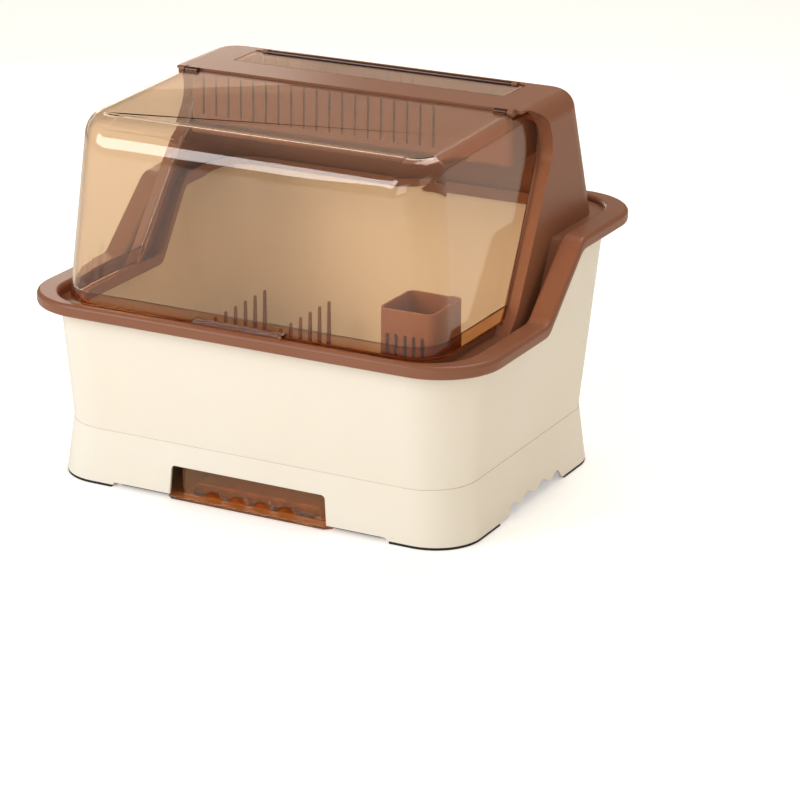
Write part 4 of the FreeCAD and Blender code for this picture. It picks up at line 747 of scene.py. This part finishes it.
class CABINET_OT_base(bpy.types.Operator):
    """Skirted base and its black rubber pads, which also stand in for the contact shadow under its
    corners
    """
    bl_idname = "cabinet.base"
    bl_label = "Base"

    def execute(self, context):
        look = context.scene.cabinet_look
        stand_for("base_skirt", "base", finish(polypropylene_cream, look))
        # The black pads under the corners are rubber feet and also painted shade: they stand in for
        # the contact shadow there.
        for end in ("front_left", "front_right", "rear_left", "rear_right"):
            stand_for(f"foot_pad_{end}", f"pad_{end}", finish(rubber_black, look))
        return {"FINISHED"}


class CABINET_OT_tub(bpy.types.Operator):
    """Cream tub"""
    bl_idname = "cabinet.tub"
    bl_label = "Tub"

    def execute(self, context):
        look = context.scene.cabinet_look
        stand_for("bin_body", "tub", finish(polypropylene_cream, look))
        return {"FINISHED"}


class CABINET_OT_hood(bpy.types.Operator):
    """Hood frame with its rim"""
    bl_idname = "cabinet.hood"
    bl_label = "Hood frame"

    def execute(self, context):
        look = context.scene.cabinet_look
        stand_for("hood_frame", "hood", finish(polypropylene_cocoa, look))
        return {"FINISHED"}


class CABINET_OT_cover(bpy.types.Operator):
    """Clear cover: a bent shell with a thick hem, a lift tab, knuckles, pins and bumpers"""
    bl_idname = "cabinet.cover"
    bl_label = "Cover"

    def execute(self, context):
        look = context.scene.cabinet_look
        clear = finish(styrene_clear, look)
        edge = finish(styrene_edge_tint_and_shade, look)
        hem = finish(styrene_hem, look)
        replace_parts(self.shell(context.scene.cabinet_sizes, clear, edge, hem), "front_cover")
        self.tab(clear)
        for side, word in ((-1, "left"), (1, "right")):
            self.knuckle(f"knuckle_{word}", side, edge)
            steel = finish(steel_ground, look)
            hinge_pin(f"cover_hinge_pin_{word}", f"cover_pin_{word}", steel)
            self.bumper(f"cover_bumper_{word}", f"bumper_{word}", finish(rubber_black, look))
        return {"FINISHED"}

    def bumper(self, node, name, material):
        """A soft stop with rounded corners and a rounded top."""
        low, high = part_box(node)
        shape = bmesh.new()
        block(shape, low, high, BUMPER_ROUND, BUMPER_BREAK)
        piece = made(name, shape, (material,), frame["nodes"][node]["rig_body"])
        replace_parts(piece, node)

    def seam_end(self, height):
        """How far back the side wall reaches at a height: a bent foot, a straight run, a lobe."""
        slope = (SEAM_TOP[0] - SEAM_FOOT[0]) / (SEAM_TOP[1] - SEAM_FOOT[1])
        over = height - SEAM_FOOT[1]
        if height > LOBE_FROM:
            drop = height - LOBE_MIDDLE[1]
            return LOBE_MIDDLE[0] + math.sqrt(max(LOBE_ROUND ** 2 - drop ** 2, 0.0))
        if over < FOOT_BEND:
            return SEAM_FOOT[0] + FOOT_BEND * slope - (FOOT_BEND - over) * FOOT_RUN
        return SEAM_FOOT[0] + over * slope

    def wall_point(self, turn, run, rise, round_angle, inset):
        """A point of the cover's right half.

        turn goes from 0 on the side to 1 on the front, run along the straight part of either,
        rise up the wall, round_angle over the rounded top edge, and inset into the wall.
        """
        radius = (SIDE_ROUND + (FRONT_ROUND - SIDE_ROUND) * turn) - inset
        alpha = turn * math.pi / 2
        out = Vector((math.cos(alpha), -math.sin(alpha)))
        top = COVER_TOP - inset
        height = COVER_LOW + rise * (top - radius - COVER_LOW)
        for _ in range(2):
            share = (height - COVER_LOW) / (COVER_PLAN_TOP - COVER_LOW)
            half = COVER_HALF_LOW + (COVER_HALF_TOP - COVER_HALF_LOW) * share
            front = COVER_FRONT + COVER_LEAN * share
            corner = COVER_CORNER_LOW + (COVER_CORNER_TOP - COVER_CORNER_LOW) * share
            middle = Vector((half - corner, front + corner))
            y = middle.y - (corner - inset) * math.sin(alpha)
            top = COVER_TOP - COVER_FALL * (LIP_FRONT - y) - inset
            height = COVER_LOW + rise * (top - radius - COVER_LOW)
        point = middle + out * (corner - inset - radius * (1 - math.cos(round_angle)))
        height += radius * math.sin(round_angle)
        if turn == 0:
            end = self.seam_end(height)
            if point.x < NOTCH_OUT:
                end = NOTCH_FRONT
            if point.x < NOTCH_IN:
                end = TOP_END
            y = point.y + (end - point.y) * run
            top = COVER_TOP - COVER_FALL * (LIP_FRONT - y) - inset
            point.y = y
            height = COVER_LOW + rise * (top - radius - COVER_LOW) + radius * math.sin(round_angle)
        elif turn == 1:
            point.x *= 1 - run
        return Vector((point.x, point.y, height))

    def grid_places(self, hem_tall):
        """The columns round the cover: turn, run and side; and the rows up it: rise and angle."""
        right = [(0.0, i / SIDE_RUN_STEPS) for i in range(SIDE_RUN_STEPS, 0, -1)]
        right += [(i / TURN_STEPS, 0.0) for i in range(TURN_STEPS + 1)]
        right += [(1.0, i / FRONT_RUN_STEPS) for i in range(1, FRONT_RUN_STEPS + 1)]
        columns = [(turn, run, 1) for turn, run in right]
        columns += [(turn, run, -1) for turn, run in right[-2::-1]]
        foot = hem_tall / (COVER_TOP - SIDE_ROUND - COVER_LOW)
        rows = [(0.0, 0.0), (foot - HEM_STEP, 0.0), (foot, 0.0)]
        rows += [(foot + (1 - foot) * i / WALL_STEPS, 0.0) for i in range(1, WALL_STEPS + 1)]
        rows += [(1.0, math.radians(angle)) for angle in ROUND_STEPS]
        return columns, rows

    def shell(self, sizes, clear, edge, hem):
        """Two bent grids, outside and inside, filled on top and bridged round the rim."""
        hem_tall = exact(sizes.hem_tall)
        columns, rows = self.grid_places(hem_tall)
        last_column, last_row = len(columns) - 1, len(rows) - 1
        shape = bmesh.new()
        for thick in (0.0, exact(sizes.cover_wall)):
            before = set(shape.verts)
            bmesh.ops.create_grid(shape, x_segments=last_column, y_segments=last_row, size=0.5)
            for vert in [v for v in shape.verts if v not in before]:
                turn, run, side = columns[round((vert.co.x + 0.5) * last_column)]
                number = round((vert.co.y + 0.5) * last_row)
                inset = thick + HEM_EXTRA if thick and number < 2 else thick
                spot = self.wall_point(turn, run, *rows[number], inset)
                vert.co = Vector((spot.x * side, spot.y, spot.z))
            rim = [e for e in shape.edges
                   if e.is_boundary and all(v not in before for v in e.verts)]
            top = [e for e in rim
                   if all(v.co.z > COVER_TOP - TOP_REACH for v in e.verts)
                   and all(abs(v.co.x) < NOTCH_IN - NOTCH_SLACK for v in e.verts)]
            bmesh.ops.contextual_create(shape, geom=top)
        loops = [e for e in shape.edges if e.is_boundary]
        # The bridged rim faces take the opaque dark edge finish: partly the plastic's deeper tint,
        # partly painted shade.
        for face in bmesh.ops.bridge_loops(shape, edges=loops)["faces"]:
            face.material_index = 1
        hem_top = COVER_LOW + hem_tall + TINY
        for face in shape.faces:
            if face.material_index == 0 and all(v.co.z < hem_top for v in face.verts):
                face.material_index = 2
        return made("cover", shape, (clear, edge, hem), "cover")

    def tab(self, clear):
        """The lift tab in the middle of the hem: a small plate with rounded front corners."""
        low, high = TAB_BOX
        shape = bmesh.new()
        sides = upright(stretched(shape, low, high), low, high)
        front = [e for e in sides if all(v.co.y < low[1] + TINY for v in e.verts)]
        bevel(shape, front, TAB_ROUND, TAB_STEPS)
        rims = [e for e in shape.edges if e.calc_face_angle(0) > CORNER_TURN]
        bevel(shape, rims, TAB_BREAK, BLOCK_STEPS)
        made("cover_tab", shape, (clear,), "cover")

    def knuckle(self, name, side, edge):
        """A round sleeve that turns on the hinge pin."""
        y, z = HINGE_AXIS
        near, far = KNUCKLE_SPAN
        shoulder = KNUCKLE_ROUND - KNUCKLE_BREAK
        profile = [(near, KNUCKLE_BORE), (near, shoulder), (near + KNUCKLE_BREAK, KNUCKLE_ROUND),
                   (far - KNUCKLE_BREAK, KNUCKLE_ROUND), (far, shoulder), (far, KNUCKLE_BORE)]
        shape = bmesh.new()
        verts = [shape.verts.new((side * x, y, z + radius)) for x, radius in profile]
        edges = [shape.edges.new(pair) for pair in zip(verts, verts[1:] + verts[:1])]
        bmesh.ops.spin(shape, geom=verts + edges, cent=(0, y, z), axis=(1, 0, 0),
                       angle=2 * math.pi, steps=ROUND_SIDES, use_merge=True, use_duplicate=False)
        bmesh.ops.remove_doubles(shape, verts=shape.verts, dist=WELD)
        # The sleeve takes the opaque dark edge finish: the thick plastic's deeper tint, with
        # painted shade.
        made(name, shape, (edge,), "cover")


class CABINET_OT_lid(bpy.types.Operator):
    """Smoked window lid, its pins and the trough under it"""
    bl_idname = "cabinet.lid"
    bl_label = "Lid and trough"

    def execute(self, context):
        look = context.scene.cabinet_look
        wall = exact(context.scene.cabinet_sizes.trough_wall)
        lid = stand_for("window_lid", "lid", finish(styrene_smoked, look))
        # The ridge at the lid's rear takes the opaque dark edge finish: partly the plastic's deeper
        # tint, partly painted shade.
        lid.data.materials.append(finish(styrene_edge_tint_and_shade, look))
        for face in lid.data.polygons:
            if face.center.y > LID_RIDGE_FROM:
                face.material_index = 1
        for side in ("left", "right"):
            hinge_pin(f"lid_hinge_pin_{side}", f"lid_pin_{side}", finish(steel_ground, look))
        self.trough(wall, finish(polypropylene_cocoa, look))
        return {"FINISHED"}

    def trough(self, wall, material):
        """The cutlery trough: a rounded open box with drain slots, a divider and two end ears."""
        low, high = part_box("cutlery_trough")
        half = high[0] - EAR_WIDE
        starts = [TROUGH_PITCH * (i + 1) - half for i in range(TROUGH_SLOTS_FRONT)]
        pairs = [(near, near + TROUGH_SLOT) for near in starts]
        shape = slotted_tub((-half, low[1], low[2]), (half, high[1], high[2]), TROUGH_CORNER,
                            low[2] + TROUGH_SLOT_UP, high[2] - TROUGH_SLOT_DOWN,
                            {low[1]: pairs, high[1]: pairs[:TROUGH_SLOTS_REAR]}, TROUGH_FOOT)
        trough = made("trough", shape, (material,), "cabinet", wall, EDGE_BREAK)
        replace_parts(trough, "cutlery_trough")
        extra = bmesh.new()
        divider = half - DIVIDER_IN
        block(extra, (divider, low[1] + wall / 2, low[2] + wall / 2),
              (divider + wall, high[1] - wall / 2, high[2] - DIVIDER_DROP))
        ears_low = high[2] - EAR_DOWN
        for side in (-1, 1):
            near, far = sorted((side * (half - wall / 2), side * high[0]))
            block(extra, (near, EAR_FRONT, ears_low),
                  (far, EAR_FRONT + EAR_LONG, ears_low + EAR_TALL), EAR_CORNER)
        made("trough_divider_and_ears", extra, (material,), "cabinet")


class CABINET_OT_tray(bpy.types.Operator):
    """Amber drip tray"""
    bl_idname = "cabinet.tray"
    bl_label = "Drip tray"

    def execute(self, context):
        look = context.scene.cabinet_look
        stand_for("drip_tray", "tray", finish(styrene_amber, look))
        return {"FINISHED"}


class CABINET_OT_racks(bpy.types.Operator):
    """Drain board, racks and cutlery holder"""
    bl_idname = "cabinet.racks"
    bl_label = "Racks"

    def execute(self, context):
        look = context.scene.cabinet_look
        sizes = context.scene.cabinet_sizes
        self.board(sizes, finish(polypropylene_pale, look))
        cocoa = finish(polypropylene_cocoa, look)
        peg_size = (exact(sizes.peg_foot), exact(sizes.peg_tip))
        for node, count, lines in RACKS:
            self.rack(node, count, lines, peg_size, cocoa)
        self.holder(exact(sizes.holder_wall), cocoa)
        return {"FINISHED"}

    def board(self, sizes, material):
        """The slotted board with round-ended slots, on four legs."""
        low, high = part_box("drain_board")
        middle = (low[1] + high[1]) / 2
        spans = ((low[1] + BOARD_EDGE, middle - BOARD_EDGE / 2),
                 (middle + BOARD_EDGE / 2, high[1] - BOARD_EDGE))
        thick, pitch = exact(sizes.board_thick), exact(sizes.board_pitch)
        half = exact(sizes.board_slot) / 2
        holes = []
        for number in range(sizes.board_slots):
            x = pitch * (number - (sizes.board_slots - 1) / 2)
            holes += [((x - half, near), (x + half, far)) for near, far in spans]
        shape = slotted_plate(low, high, BOARD_CORNER, holes, half - TINY)
        board = made("board", shape, (material,), "cabinet", thick, EDGE_BREAK)
        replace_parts(board, "drain_board")
        self.legs(low, high, high[2] - thick + LEG_OVERLAP, material)

    def legs(self, low, high, top, material):
        """Four square legs under the board's corners."""
        shape = bmesh.new()
        half = LEG_WIDE / 2
        across = high[0] - BOARD_CORNER - half
        for x in (-across, across):
            for y in (low[1] + LEG_IN + half, high[1] - LEG_IN - half):
                block(shape, (x - half, y - half, low[2]), (x + half, y + half, top), LEG_CORNER)
        made("board_legs", shape, (material,), "cabinet")

    def rack(self, node, count, lines, peg_size, material):
        """A ladder frame with rows of tapered pegs."""
        low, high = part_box(node)
        top = low[2] + RACK_BAR
        shape = bmesh.new()
        frame_ring(shape, low, (high[0], high[1], top), RACK_BAR, RACK_CORNER, RACK_INNER)
        inside = high[0] - low[0] - RACK_BAR * 3
        step = (high[1] - low[1] - RACK_BAR) / (count - 1)
        for line in range(lines):
            x = low[0] + RACK_BAR + inside * (2 * line + 1) / (2 * lines)
            block(shape, (x, low[1] + RACK_BAR / 2, low[2] + RUNG_IN),
                  (x + RACK_BAR, high[1] - RACK_BAR / 2, top - RUNG_IN), soft=RUNG_BREAK)
            for number in range(count):
                y = low[1] + RACK_BAR / 2 + step * number
                peg(shape, x + RACK_BAR / 2, y, top - PEG_SUNK, high[2], *peg_size)
        rack = made(node + "_piece", shape, (material,), "cabinet",
                    soft=RACK_BREAK)
        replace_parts(rack, node)

    def holder(self, wall, material):
        """The tall cup for cutlery: slotted front and back, with a rounded foot."""
        low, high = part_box("cutlery_holder")
        starts = [low[0] + HOLDER_SLOT_FROM + HOLDER_PITCH * i for i in range(HOLDER_SLOTS)]
        pairs = [(near, near + HOLDER_SLOT) for near in starts]
        shape = slotted_tub(low, high, HOLDER_CORNER, low[2] + HOLDER_SLOT_IN,
                            high[2] - HOLDER_SLOT_IN, {low[1]: pairs, high[1]: pairs}, HOLDER_FOOT)
        holder = made("holder", shape, (material,), "cabinet", wall, EDGE_BREAK)
        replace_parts(holder, "cutlery_holder")


class CABINET_PT_sidebar(bpy.types.Panel):
    """Lists the pieces and what can be changed"""
    bl_idname = "CABINET_PT_sidebar"
    bl_label = "Cabinet"
    bl_space_type = "VIEW_3D"
    bl_region_type = "UI"
    bl_category = "Cabinet"

    def draw(self, context):
        scene = context.scene
        for group in (scene.cabinet_sizes, scene.cabinet_look, scene.cabinet_stage):
            for name in group.bl_rna.properties.keys():
                if name not in ("rna_type", "name"):
                    self.layout.prop(group, name)
        for operator in OPERATORS:
            self.layout.operator(operator.bl_idname)


OPERATORS = (CABINET_OT_stage, CABINET_OT_base, CABINET_OT_tub, CABINET_OT_hood,
             CABINET_OT_cover, CABINET_OT_lid, CABINET_OT_tray, CABINET_OT_racks)
CLASSES = (CabinetSizes, CabinetLook, CabinetStage) + OPERATORS + (CABINET_PT_sidebar,)


def register():
    """Adds the classes and the scene's properties."""
    for item in CLASSES:
        bpy.utils.register_class(item)
    bpy.types.Scene.cabinet_sizes = PointerProperty(type=CabinetSizes)
    bpy.types.Scene.cabinet_look = PointerProperty(type=CabinetLook)
    bpy.types.Scene.cabinet_stage = PointerProperty(type=CabinetStage)


def unregister():
    """Takes them away again."""
    del bpy.types.Scene.cabinet_stage
    del bpy.types.Scene.cabinet_look
    del bpy.types.Scene.cabinet_sizes
    for item in reversed(CLASSES):
        bpy.utils.unregister_class(item)


def main():
    """Builds the cabinet."""
    register()
    bpy.context.scene.view_settings.view_transform = "Standard"
    for operator in OPERATORS:
        group, name = operator.bl_idname.split(".")
        getattr(getattr(bpy.ops, group), name)()
    bpy.context.view_layer.update()


if __name__ == "__main__":
    main()
